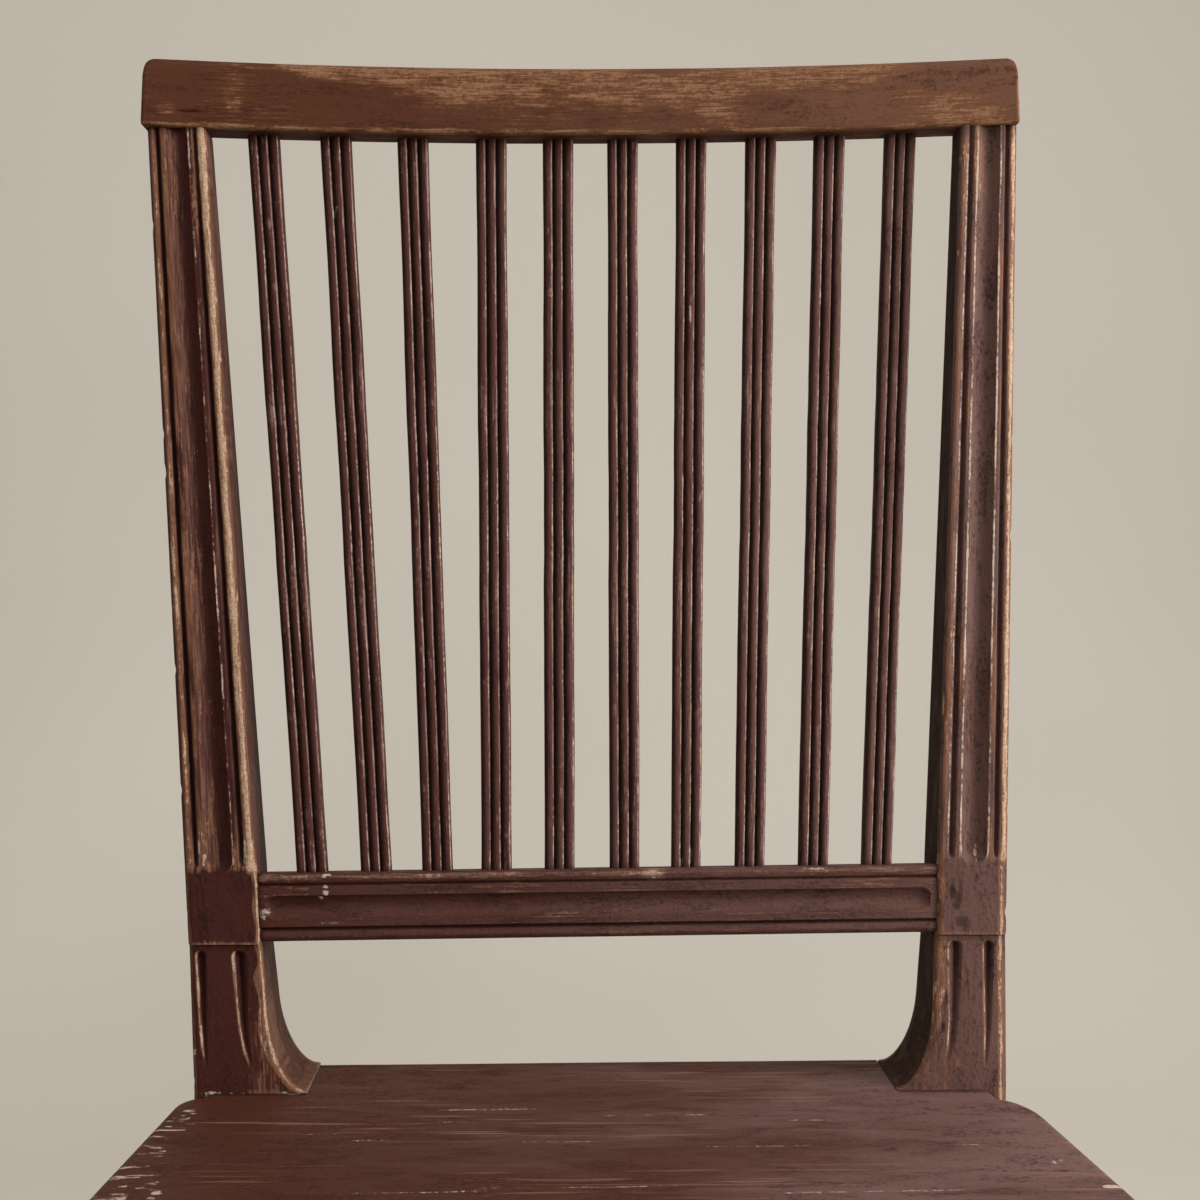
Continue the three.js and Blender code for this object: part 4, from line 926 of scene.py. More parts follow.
def slat_section(index, share, foot, top):
    middle = foot.lerp(top, share)
    width = lerp(SLAT_FOOT_WIDTH, SLAT_TOP_WIDTH, share)
    width *= 1 + 0.035 * uneven(index * 9.7, middle.z, 1, 60)
    size = width / SLAT_TOP_WIDTH
    sway = 0.45 * uneven(index * 5.1, middle.z, 2, 95) + 0.12 * uneven(index * 5.1, middle.z, 4, 14)
    sway *= bump(share, 0.5, 0.5) + 0.2
    thick = size * SLAT_THICKNESS
    points = [(-width / 2 + 0.4, thick, 0.15, 0.2, 0.0), *reeds(index, middle.z, width, size),
              (width / 2, size * (REED_DEPTH + 1.5), 0.4, 0.1, 0.0)]
    points += [(place, thick, 0.15, 0.2, 0.0) for place in (width / 2 - 0.4, width / 6, -width / 6)]
    joint = max(smooth(1 - (middle.z - foot.z) / 5), smooth(1 - (top.z - middle.z) / 5))
    section = []
    for place, deep, wear_and_highlight, grime_and_shade, gleam in points:
        chip = nick(place * 2 + index * 50, middle.z, index + 20, 7) * (1 if deep < 1 else 0)
        under = deep + 0.12 * uneven(place * 2 + index * 8, middle.z, 9, 12) + 0.35 * chip
        x = middle.x + place + sway
        filler_and_gleam = max(gleam, marked(x, middle.z, PALE_MARKS_AND_GLINTS)) if deep < 2 else 0.0
        section.append(sample(x, middle.y + under, middle.z, max(wear_and_highlight, 0.62 * chip),
                              max(grime_and_shade, JOINT_DIRT * joint), middle.z, place, deep, filler_and_gleam))
    return section


def back_slat(index):
    foot, top = slat_ends(index)
    entry = (top - foot).normalized() * SLAT_ENTRY
    return loft([slat_section(index, row / SLAT_ROWS, foot - entry, top + entry)
                 for row in range(SLAT_ROWS + 1)])


# Seat board
def board_edge(y):
    return lerp(BOARD_REAR_HALF, BOARD_FRONT_HALF, -y / BOARD_FRONT)


def board_limit(side, y):
    """Half the board's width, with the rear corner's curve and the front corner's round."""
    drop, start, length = EARS[side]
    rear = drop * cove(max(0.0, (-y - start) / length))
    return board_edge(y) - rear - BOARD_CORNER * cove((y + BOARD_FRONT) / BOARD_CORNER)


# Marks on the seat: x, y, half width, half length, strength
RUBBED = (
    (89.7, 12.4, 10, 6, 0.16), (-28.4, 36.7, 20, 5, -0.12), (171, -60, 24, 20, 0.12),
    (-186, -150, 16, 50, 0.2), (-188, -109, 12, 16, 0.22), (-184, -78, 14, 12, 0.18),
    (120, -100, 90, 70, 0.06), (-138, 2, 7, 2, 0.3),
)
SCRATCHED = (
    (-181, -34, 8, 1, 0.5), (-181, -44.5, 10, 1.1, 0.6), (-183, -52, 5, 1, 0.5),
    (-184, -70, 9, 1.3, 0.5), (-186, -84, 6, 1.2, 0.5), (-176, -104, 3, 1.2, 0.6),
    (-169, -109, 2.4, 1.6, 0.9), (-188, -116, 7, 1.6, 0.6), (-182, -110, 5, 1.2, 0.5),
    (-178, -92, 7, 1, 0.5), (188, -109, 4, 1.8, 0.85), (174, -84.6, 0.8, 1.6, 0.85),
    (176.6, -83, 0.8, 1.6, 0.85), (196, -126, 5, 2, 0.5), (-63, -37, 12, 0.8, 0.44),
    (-20, -60, 30, 0.8, 0.44), (-112, -50, 24, 0.8, 0.4), (60, -66, 34, 0.8, 0.42),
    (-96, -57, 12, 1, 0.5), (84, -37, 15, 0.8, 0.42), (-50, -22, 24, 0.9, 0.44),
    (-110, -92, 0.7, 3, 0.55), (-10, -106, 40, 0.9, 0.44), (96, -112, 46, 0.9, 0.44),
    (-74, -110, 30, 0.9, 0.42), (24, -30, 40, 0.8, 0.38), (140, -66, 22, 0.9, 0.4),
    (-138, -1.5, 6, 0.8, 0.6),
)


def board_marks(x, y):
    """Wear and pale filler: rubbed spots, scratches along the grain and chips by the left edge."""
    wear_and_highlight = 0.27 + 0.16 * uneven(x, y * 1.5, 3, 90)
    for middle_x, middle_y, half_x, half_y, strength in RUBBED:
        wear_and_highlight += strength * smooth(1.3 - math.hypot((x - middle_x) / half_x, (y - middle_y) / half_y))
    chips = smooth((uneven(x, y * 2, 17, 5) - 0.24) / 0.2) * smooth((x + 168 + y * 0.05) / -14 + 0.3)
    filler_and_gleam = 0.52 * chips * smooth((-12 - y) / 12) * smooth((y + 170) / 30)
    for middle_x, middle_y, half_x, half_y, strength in SCRATCHED:
        slant = 0.02 * (x - middle_x)
        reach = math.hypot((x - middle_x) / half_x, (y - middle_y - slant) / half_y)
        filler_and_gleam = max(filler_and_gleam, strength * smooth((1.3 - reach) / 0.7))
    return wear_and_highlight, filler_and_gleam


def top_sample(x, y, sides):
    """A place on the seat's top; sides is false between the posts, where the board has no side edge."""
    limit = board_limit(1 if x > 0 else -1, y)
    distance = min(limit - abs(x) if sides else BOARD_TOP_ROUND, BOARD_BACK - y, y + BOARD_FRONT)
    bow = BOARD_BOW * (x / BOARD_FRONT_HALF) ** 2 * clamp(-y / BOARD_FRONT) ** BOARD_BOW_POWER
    skew = BOARD_SKEW * x / BOARD_REAR_HALF * max(0.0, y) / BOARD_BACK
    wear_and_highlight, filler_and_gleam = board_marks(x, y)
    wear_and_highlight += 0.4 * smooth(1 - distance / 4) * (1 + uneven(x, y, 5, 12))
    height = -round_drop(distance, BOARD_TOP_ROUND) + 0.1 * uneven(x, y * 2, 1, 60) - 0.1
    foot_dirt = 0.9 * smooth(1 - (-GAP - y) / 5) if NOTCH < abs(x) < POST_SPAN_SEAT and y < 0 else 0
    return sample(x, y + bow + skew, height, wear_and_highlight, foot_dirt, x, y, height, filler_and_gleam)


EDGE_ROUND = [BOARD_TOP_ROUND * (1 - math.cos(turn * math.pi / 12)) for turn in range(7)]
PHOTO_EDGE = -130       # the photo ends here, so the rows before it are coarser
EAR_STEPS = 34
NECK_STEPS = 110


def board_columns(side, y):
    """Places from one edge of the board to the notch's inner side."""
    limit = board_limit(side, y)
    inward = [limit - place for place in EDGE_ROUND]
    inward += [lerp(limit - BOARD_TOP_ROUND, NOTCH, index / EAR_STEPS) for index in range(1, EAR_STEPS)]
    return [side * place for place in inward]


def board_rim(height, inset, outline):
    """The board's outline at a height under its top, drawn in where the lower edge is round."""
    corner = BOARD_FRONT - BOARD_CORNER - BOARD_BOW
    rim = []
    for x, y, _ in outline:
        moved_x, moved_y = x, y
        if y < 0 and abs(x) > NOTCH:
            moved_x = x - math.copysign(inset, x) * smooth((abs(x) - 150) / 30)
        if y < -corner:
            moved_y = y + inset * smooth((-corner - y) / BOARD_CORNER)
        elif y > BOARD_BACK - BOARD_SKEW - 2:
            moved_y = y - inset
        rim.append(sample(moved_x, moved_y, height, 0.3, 0.15, x, y, height * 3))
    return rim


def seat_board():
    surface = Surface()
    corner = BOARD_CORNER - BOARD_FRONT
    front_rows = rising([
        *[place - BOARD_FRONT for place in EDGE_ROUND], *steps(-BOARD_FRONT + 4, corner, 1),
        *steps(corner, PHOTO_EDGE, 5), *steps(PHOTO_EDGE, -42, 1), *steps(-42, -GAP, 0.7), -GAP], 0.1)
    rear_rows = rising([*steps(-GAP + 0.5, BOARD_BACK - BOARD_TOP_ROUND, 1.2),
                        *[BOARD_BACK - place for place in EDGE_ROUND]], 0.1)
    neck = [lerp(-NOTCH, NOTCH, index / NECK_STEPS) for index in range(NECK_STEPS + 1)]
    front = []
    for y in front_rows:
        places = [*board_columns(-1, y), *neck, *reversed(board_columns(1, y))]
        front.append(surface.ring([top_sample(x, y, True) for x in places]))
    ear = len(EDGE_ROUND) + EAR_STEPS - 1
    rear = [front[-1][ear:ear + NECK_STEPS + 1]]
    rear += [surface.ring([top_sample(x, y, False) for x in neck]) for y in rear_rows]
    for rows in (front, rear):
        for one, other in zip(rows, rows[1:]):
            surface.band(one, other, closed=False)
    loop = [*front[0], *[row[-1] for row in front[1:]], *reversed(front[-1][ear + NECK_STEPS + 1:-1]),
            *[row[-1] for row in rear], *reversed(rear[-1][:-1]),
            *[row[0] for row in reversed(rear[:-1])], *reversed(front[-1][1:ear]),
            *[row[0] for row in reversed(front[1:])]]
    outline = [surface.samples[index][0] for index in loop]
    lower = BOARD_LOWER_ROUND
    levels = [(-BOARD_TOP_ROUND - 2, 0), (-BOARD_THICKNESS / 2, 0), (lower - BOARD_THICKNESS, 0)]
    levels += [(lower * (1 - math.sin(turn)) - BOARD_THICKNESS, lower * (1 - math.cos(turn)))
               for turn in [index * math.pi / 10 for index in range(1, 6)]]
    for height, inset in levels:
        below = surface.ring(board_rim(height, inset, outline))
        surface.band(loop, below)
        loop = below
    surface.faces.append(tuple(loop))
    return surface


# Front legs
def leg_outer(side):
    return side * (board_edge(LEG_FRONT) - BOARD_SIDE_OVERHANG)


def leg_size(height):
    return LEG_BLOCK if height >= LEG_BLOCK_END else lerp(LEG_TOP, LEG_FOOT, leg_fall(height))


def leg_face(place, size, height):
    opened = tapering(height, FLOOR + LEG_FLUTE_FOOT, LEG_BLOCK_END - TAPER_MARGIN)
    depth, wear_and_highlight, grime_and_shade = 0.0, 0.22, 0.1
    for share in LEG_FLUTES:
        half = LEG_FLUTE_HALF * lerp(TAPER_POINT, 1, opened)
        distance = abs(place - share * size)
        # The flutes darken with dirt and painted shade
        if distance < half and opened > 0:
            depth = LEG_FLUTE_DEPTH * opened * (1 - distance / half) ** TAPER_SHAPE
            grime_and_shade = 0.9 * smooth(1.15 - distance / half) * opened
        wear_and_highlight = max(wear_and_highlight, 0.48 * bump(distance, half + 0.6, 1.2) * opened)
    return depth, wear_and_highlight, grime_and_shade


LEG_COLUMNS = 40
SCUFF_HEIGHT = 60


def leg_section(side, height):
    size = leg_size(height)
    lip = LEG_LIP * clamp((LEG_BLOCK_END - height) / BLOCK_LIP)
    scuff = 0.35 * smooth((FLOOR + SCUFF_HEIGHT - height) / SCUFF_HEIGHT)
    section = []
    for face in range(4):
        for index in range(LEG_COLUMNS):
            place = size * index / LEG_COLUMNS
            depth, wear_and_highlight, grime_and_shade = leg_face(place, size, height) if face in (0, 3) else (0.0, 0.22, 0.12)
            edge = min(place, size - place)
            chip = nick(place + side * 70, height, 41, 10) * bump(edge, 0, 2.4)
            wear_and_highlight = max(wear_and_highlight, 0.62 * bump(edge, 0, 2.6), 0.8 * chip)
            depth += round_drop(edge, LEG_ARRIS) * 0.62
            depth += 0.5 * chip + 0.1 * uneven(place * 2, side * 30, height, 20)
            aside, behind = ((place, depth), (size - depth, place), (size - place, size - depth),
                             (depth, size - place))[face]
            x = leg_outer(side) - side * (lip + aside)
            y = LEG_FRONT + lip + behind
            section.append(sample(x, y, height, wear_and_highlight + scuff, grime_and_shade, height, place + aside, depth))
    return section


def front_leg(side):
    top = LEG_BLOCK_END - TAPER_MARGIN
    heights = rising([
        FLOOR, *steps(FLOOR + 1, top - TAPER_RUN_OUT, 4), *steps(top - TAPER_RUN_OUT, top, 0.4), top,
        LEG_BLOCK_END - BLOCK_LIP, LEG_BLOCK_END, *steps(LEG_BLOCK_END + 0.5, RAIL_TOP, 5), RAIL_TOP,
    ], 0.2)
    return loft([leg_section(side, height) for height in heights])


# Seat rails: an outline of depths and drops, carried along a line
def seat_rail_outline():
    bead_top = SEAT_RAIL_HEIGHT - SEAT_RAIL_BEAD
    groove_top = bead_top - SEAT_RAIL_GROOVE
    outline = [(0, drop, 0.25, 0.1) for drop in steps(0, groove_top - 0.4, 4)]
    # The groove darkens with its depth, with dirt and painted shade
    for share in [index / 8 for index in range(9)]:
        deep = SEAT_RAIL_GROOVE_DEPTH * math.sin(math.pi * share) ** 1.2
        outline.append((deep, lerp(groove_top, bead_top, share), 0.4 - 0.3 * deep, min(1, deep)))
    radius = SEAT_RAIL_BEAD / 2
    outline += [(radius * (1 - math.cos(turn)), bead_top + radius + radius * math.sin(turn), 0.55, 0.05)
                for turn in quarter(8, 1)]
    back = SEAT_RAIL_THICKNESS
    return outline + [(back, SEAT_RAIL_HEIGHT, 0.2, 0.3), (back, SEAT_RAIL_HEIGHT / 2, 0.12, 0.3),
                      (back, 0, 0.12, 0.3)]


def seat_rail(start, end, own, seed, place_at):
    """A rail from start to end; place_at gives x and y for a place along it and a depth in it."""
    sections = []
    for along in [*steps(start, end, 3), end]:
        chip = nick(along, own * 9, seed, 9)
        section = []
        for deep, drop, wear_and_highlight, grime_and_shade in seat_rail_outline():
            x, y = place_at(along, deep + 0.12 * uneven(along, drop * 2, own * 9, 20))
            wear_and_highlight += 0.2 * chip * (1 if drop > 50 else 0)
            section.append(sample(x, y, RAIL_TOP - drop, wear_and_highlight, grime_and_shade, along, drop, deep))
        sections.append(section)
    return loft(sections)


def side_rail(side):
    front = leg_outer(side) - side * SEAT_RAIL_RECESS
    rear = side * (POST_SPAN_SEAT - SEAT_RAIL_RECESS)
    return seat_rail(LEG_REAR, 0, side, 61,
                     lambda y, behind: (lerp(front, rear, (y - LEG_REAR) / -LEG_REAR) - side * behind, y))


def across_rail(face, inward, ends):
    return seat_rail(*ends, inward, 63, lambda x, behind: (x, face + inward * behind))


# Stretchers
def leg_middle(side, height):
    half = LEG_LIP + leg_size(height) / 2
    return Vector((leg_outer(side) - side * half, LEG_FRONT + half, height))


def post_middle(side, height):
    place = half_span(side, height) - post_width(side, height) / 2
    middle = front_plane(height) + post_depth(height) / 2
    return Vector((side_lean(height) + side * place, middle, height))


def bar_outline(width, tall):
    """A square bar's outline with soft corners, worn most along its upper outer ones."""
    outline = []
    for turn, (aside, up) in enumerate(((1, 1), (-1, 1), (-1, -1), (1, -1))):
        x, z = aside * (width / 2 - STRETCHER_ARRIS), up * (tall / 2 - STRETCHER_ARRIS)
        for angle in [(turn + index / 5) * math.pi / 2 for index in range(6)]:
            outline.append((x + STRETCHER_ARRIS * math.cos(angle), z + STRETCHER_ARRIS * math.sin(angle),
                            0.62 if up > 0 else 0.4))
        heading = (turn + 1) * math.pi / 2 + math.pi / 2
        run = (width if turn % 2 == 0 else tall) - 2 * STRETCHER_ARRIS
        x, z, _ = outline[-1]
        outline += [(x + math.cos(heading) * run * share, z + math.sin(heading) * run * share,
                     0.36 if turn == 0 else 0.24) for share in [index / 7 for index in range(1, 7)]]
    return outline


def bar(start, end, width, tall, widthwise, seed):
    length = (end - start).length
    sections = []
    for along in [*steps(0, length, 4), length]:
        middle = start.lerp(end, along / length)
        section = []
        for aside, rise, wear_and_highlight in bar_outline(width, tall):
            wave = 0.2 * uneven(along, aside * 2, rise * 2 + seed * 30, 30)
            place = middle + widthwise * (aside * (1 + wave / width)) + UP * (rise * (1 + wave / tall))
            wear_and_highlight += 0.15 * nick(along, aside + rise, seed, 9)
            section.append(sample(*place, wear_and_highlight, 0.1, along, aside + 3 * rise, rise))
        sections.append(section)
    return loft(sections)


def side_stretcher(side):
    level = FLOOR + STRETCHER_HEIGHT
    front, rear = leg_middle(side, level), post_middle(side, level)
    run = (rear - front) / (rear.y - front.y)
    return bar(front + run * (leg_size(level) / 2), rear - run * (post_depth(level) / 2),
               STRETCHER_THICK, STRETCHER_TALL, RIGHTWARD, side + 5)


def cross_stretcher():
    level = FLOOR + STRETCHER_HEIGHT
    left, right = [leg_middle(side, level).lerp(post_middle(side, level), CROSS_PLACE) for side in SIDES]
    left.x += STRETCHER_THICK / 2
    right.x -= STRETCHER_THICK / 2
    return bar(left, right, CROSS_THICK, CROSS_TALL, BACKWARD, 8)


# Pegs and nails, each set where its own solid is
def turned(profile, centre, axis, count, ragged):
    """A round piece, a little out of round. Its profile is radii, heights, wear and how dark it is."""
    aside = axis.orthogonal().normalized()
    other = axis.cross(aside)
    turns = [2 * math.pi * index / count for index in range(count)]
    sections = []
    for radius, height, wear_and_highlight, grime_and_shade in profile:
        section = []
        for turn in turns:
            cosine, sine = math.cos(turn), math.sin(turn)
            reach = radius * (1 + ragged * uneven(cosine * 3, sine * 3, centre.x + centre.y, 2))
            place = centre + axis * height + (aside * cosine + other * sine) * reach
            section.append(sample(*place, wear_and_highlight, grime_and_shade, radius * cosine, radius * sine, height))
        sections.append(section)
    return loft(sections)


def node_middle(node):
    low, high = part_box(node)
    return (Vector(low) + Vector(high)) / 2 / MM - origin / MM, (Vector(high) - Vector(low)) / MM


def peg_end(node):
    centre, size = node_middle(node)
    if size.x > size.y:
        outward = RIGHTWARD * math.copysign(1, centre.x)
    else:
        outward = -BACKWARD if centre.y < -100 else BACKWARD
    half = max(size.x, size.y) / 2
    radius = min(size.x, size.y) / 2
    profile = [(radius * 0.8, -half, 0.3, 0.2), (radius, -half + 1, 0.3, 0.2),
               (radius, half - 0.9, 0.4, 0.6), (radius * 0.94, half - 0.35, 0.7, 0.2),
               (radius * 0.74, half - 0.1, 0.6, 0.1), (radius * 0.35, half, 0.5, 0.1),
               (radius * 0.05, half, 0.5, 0.1)]
    return turned(profile, centre, outward, 20, 0.08)


def nail_head(node):
    centre, size = node_middle(node)
    head = Vector((centre.x, centre.y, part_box(node)[1].z / MM - origin.z / MM))
    radius = size.x / 2
    profile = [(0.4, -size.z, 0.2, 0.4), (1.4, -size.z * 0.6, 0.2, 0.4), (1.5, -1.6, 0.2, 0.4),
               (radius, -1.4, 0.2, 0.6), (radius * 0.98, -0.35, 0.3, 0.5),
               (radius * 0.8, -0.05, 0.35, 0.3), (radius * 0.4, 0, 0.4, 0.2),
               (radius * 0.06, -0.05, 0.4, 0.2)]
    return turned(profile, head, UP, 14, 0.16)


# Materials
def colour(code):
    """A written colour as the shader's linear one."""
    channels = [int(code[index:index + 2], 16) / 255 for index in (0, 2, 4)]
    return (*[value / 12.92 if value <= 0.04045 else ((value + 0.055) / 1.055) ** 2.4
              for value in channels], 1)


class Nodes:
    """A node tree. A value is a number, a colour or another node's output."""

    def __init__(self, owner, shader):
        owner.use_nodes = True
        self.tree = owner.node_tree
        self.shader = self.tree.nodes[shader]

    def feed(self, target, value):
        if isinstance(value, bpy.types.NodeSocket):
            self.tree.links.new(value, target)
        else:
            target.default_value = value

    def shade(self, **values):
        for name, value in values.items():
            self.feed(self.shader.inputs[name.replace("_", " ")], value)

    def add(self, kind, inputs, output=0, **settings):
        node = self.tree.nodes.new(kind)
        for key, value in settings.items():
            setattr(node, key, value)
        for key, value in inputs.items():
            self.feed(node.inputs[key], value)
        return node.outputs[output]

    def attribute(self, name, output="Fac"):
        return self.add("ShaderNodeAttribute", {}, output, attribute_name=name)

    def noise(self, vector, scale, detail=4.0, rough=0.55, distortion=0.0):
        scaled = self.add("ShaderNodeVectorMath", {0: vector, 1: scale}, operation="MULTIPLY")
        return self.add("ShaderNodeTexNoise", {
            "Vector": scaled, "Scale": 1, "Detail": detail, "Roughness": rough, "Distortion": distortion,
        }, "Fac")

    def math(self, operation, one, other, limited=False):
        return self.add("ShaderNodeMath", {0: one, 1: other}, operation=operation, use_clamp=limited)

    def times(self, one, other, limited=False):
        return self.math("MULTIPLY", one, other, limited)

    def between(self, value, low, high, start=0.0, end=1.0):
        return self.add("ShaderNodeMapRange", {
            "Value": value, "From Min": low, "From Max": high, "To Min": start, "To Max": end,
        }, "Result", interpolation_type="SMOOTHSTEP")

    def shaken(self, base, *parts):
        """A value with noises added to it, each about its own middle."""
        for part, weight in parts:
            base = self.add("ShaderNodeMath", {0: part, 1: weight, 2: base}, operation="MULTIPLY_ADD")
        return self.math("SUBTRACT", base, sum(weight for _, weight in parts) / 2)

    def mix(self, share, one, other):
        return self.add("ShaderNodeMix", {0: share, 6: one, 7: other}, 2, data_type="RGBA")

    def emboss(self, height, strength, distance):
        inputs = {"Strength": strength, "Distance": distance, "Height": height}
        self.shade(Normal=self.add("ShaderNodeBump", inputs, "Normal"))

    def seen(self):
        """One for what the camera sees, straight, mirrored or through glass, and zero for other light."""
        path = self.tree.nodes.new("ShaderNodeLightPath").outputs
        rays = self.math("MAXIMUM", path["Is Camera Ray"], path["Is Glossy Ray"])
        return self.math("MAXIMUM", rays, path["Is Transmission Ray"])


FINE_GRAIN = (60, 900, 900)
BOARD_GRAIN = (34, 360, 360)
CREST_GRAIN = (62, 850, 850)
END_GRAIN = (300, 900, 900)
# Pale colour of filler and chipped ground, also painting gleams and glints
FILLER_AND_GLEAM = colour("d2bba8")


def painted_wood(name, colours, threshold, softness, sheen, specular, streak,
                 scratches=0.0, ridges=1.0, patchy=0.9, fade_and_sheen_range=(0.15, 0.95), thinned=0.0):
    """Old paint over wood. The paint gives way where the wear is high, in streaks along the grain.

    The colours are paint, faded paint that also paints sheen, dark paint, wood, pale wood, and dirt that
    also paints shade. The threshold is the wear from which the wood shows.
    """
    material = bpy.data.materials.new(name)
    nodes = Nodes(material, "Principled BSDF")
    noise, between, shaken, times, mix = nodes.noise, nodes.between, nodes.shaken, nodes.times, nodes.mix
    paint, faded_sheen, deep, wood, pale, dirt_and_shade = [colour(code) for code in colours.split()]
    grain = nodes.attribute("grain", "Vector")
    wear_and_highlight, grime_and_shade, filler_and_gleam, fade_and_sheen = [nodes.attribute(label) for label in ("wear_and_highlight", "grime_and_shade", "filler_and_gleam", "fade_and_sheen")]
    streaks = between(noise(grain, streak, 5, 0.6, 0.3), 0.36, 0.64)
    fibres = between(noise(grain, [2.6 * scale for scale in streak], 3, 0.6), 0.36, 0.64)
    blotches = noise(grain, (30, 110, 110), 4, 0.6, 0.8)
    clouds = noise(grain, (9, 24, 24), 3, 0.5)
    mottle = noise(grain, (420, 520, 520), 5, 0.68, 0.3)
    # Towards the right the paint turns to the faded colour, partly fading and partly painted sheen
    coat = mix(between(shaken(fade_and_sheen, (clouds, 0.9), (mottle, 0.9)), *fade_and_sheen_range), paint, faded_sheen)
    coat = mix(between(shaken(0.5, (blotches, 1.2), (mottle, 1.5)), 0.45, 0.85, 0, 0.75), coat, deep)
    if thinned:
        thin = between(shaken(wear_and_highlight, (streaks, 0.16), (clouds, 0.3)), 0.34, 0.62, 0, thinned)
        coat = mix(thin, coat, wood)
    rubbed = shaken(wear_and_highlight, (streaks, 0.26), (blotches, patchy), (mottle, 0.9))
    bare = between(rubbed, threshold, threshold + softness)
    palest = between(rubbed, threshold + 0.28, threshold + 0.46)
    crackle = between(noise(grain, (900, 900, 900), 3, 0.6, 0.6), 0.4, 0.6, 1, 0.5)
    timber = mix(times(palest, crackle), mix(times(fibres, 0.45), wood, deep), pale)
    surface = mix(times(bare, 0.92), coat, timber)
    lines = between(noise(grain, [1.7 * scale for scale in streak], 4, 0.6, 0.5), 0.54, 0.66)
    surface = mix(times(lines, between(bare, 0, 1, 0.14, 0.6)), surface, deep)
    if scratches:
        strokes = between(noise(grain, (13, 400, 300), 3, 0.55, 0.4), 0.58, 0.66)
        patches = between(noise(grain, (9, 30, 30), 2, 0.5), 0.42, 0.6)
        surface = mix(times(times(strokes, patches), scratches), surface, wood)
    # Pale filler, chipped ground and painted gleams
    chips_and_gleams = between(shaken(filler_and_gleam, (mottle, 1.2), (streaks, 0.2)), 0.3, 0.65, 0, 0.92)
    # Grime and painted shade darken towards the dirt colour
    dirty_and_shaded = times(grime_and_shade, between(blotches, 0.25, 0.5, 0.75, 1.0), True)
    surface = mix(times(dirty_and_shaded, 0.92), mix(chips_and_gleams, surface, FILLER_AND_GLEAM), dirt_and_shade)
    gloss = between(shaken(0.5, (blotches, 0.8), (mottle, 0.8)), 0.3, 0.7, *sheen)
    gloss = nodes.math("ADD", nodes.math("ADD", gloss, times(bare, 0.12)), times(dirty_and_shaded, 0.5), True)
    nodes.shade(Base_Color=surface, Roughness=gloss, Specular_IOR_Level=specular)
    nodes.emboss(shaken(times(times(streaks, bare), 0.4), (streaks, 0.06), (mottle, 1.3), (blotches, 1.0),
                        (bare, -0.4), (chips_and_gleams, 0.5)), 0.65, 0.0006 * ridges)
    return material


def rusty_iron(name):
    material = bpy.data.materials.new(name)
    nodes = Nodes(material, "Principled BSDF")
    grain = nodes.attribute("grain", "Vector")
    coarse = nodes.noise(grain, (600, 600, 600), 5, 0.65)
    fine = nodes.noise(grain, (2600, 2600, 2600), 3, 0.6)
    metal = nodes.mix(nodes.between(coarse, 0.35, 0.65), colour("2c2220"), colour("50352a"))
    metal = nodes.mix(nodes.between(fine, 0.55, 0.75), metal, colour("5b3c32"))
    nodes.shade(Base_Color=metal, Metallic=0.35, Roughness=nodes.between(coarse, 0.3, 0.7, 0.5, 0.85))
    nodes.emboss(fine, 0.6, 0.0004)
    return material


def plain_ground(name, light, dark, glow):
    """Matt ground that glows a little to the camera, but lights nothing by that."""
    material = bpy.data.materials.new(name)
    nodes = Nodes(material, "Principled BSDF")
    place = nodes.tree.nodes.new("ShaderNodeTexCoord").outputs["Object"]
    drift = nodes.noise(place, (0.7, 0.7, 0.7), 2, 0.5)
    tone = nodes.mix(nodes.between(drift, 0.3, 0.7), colour(dark), colour(light))
    nodes.shade(Base_Color=tone, Emission_Color=tone, Emission_Strength=nodes.times(nodes.seen(), glow),
                Roughness=0.9, Specular_IOR_Level=0.15)
    nodes.emboss(nodes.noise(place, (140, 140, 140), 3, 0.6), 0.08, 0.0006)
    return material


frame_paint = painted_wood(
    "frame_paint", "481f17 6c4e46 290f0a 93664c dcb898 170906", 0.5, 0.16, (0.38, 0.58), 0.17, FINE_GRAIN,
    thinned=0.5)
rail_paint = painted_wood(
    "rail_paint", "4b2219 6c4e46 290f0a 8a6450 d0aa98 170906", 0.5, 0.2, (0.38, 0.58), 0.17, FINE_GRAIN,
    ridges=1.3, fade_and_sheen_range=(-0.35, 1.6))
slat_paint = painted_wood(
    "slat_paint", "4c261e 66443b 290f0a 8a675a a88c7f 170907", 0.5, 0.16, (0.38, 0.58), 0.17, FINE_GRAIN)
crest_paint = painted_wood(
    "crest_paint", "552f1a 704a37 361a0f 885a3b 9f7556 220d07", 0.42, 0.4, (0.5, 0.7), 0.14, CREST_GRAIN,
    patchy=0.5)
board_paint = painted_wood(
    "board_paint", "522d22 785b56 3a1d17 93675a c79c8b 200f0b", 0.56, 0.2, (0.52, 0.7), 0.15, BOARD_GRAIN,
    scratches=0.7, ridges=0.5, fade_and_sheen_range=(0.35, 1.05))
peg_paint = painted_wood(
    "peg_paint", "45271f 5c4037 2c1511 8c6048 cdaa8a 180c09", 0.5, 0.2, (0.45, 0.65), 0.24, END_GRAIN)
iron = rusty_iron("old_iron")
ground = plain_ground("pale_ground", "c9c2b6", "bfb7aa", 0.38)

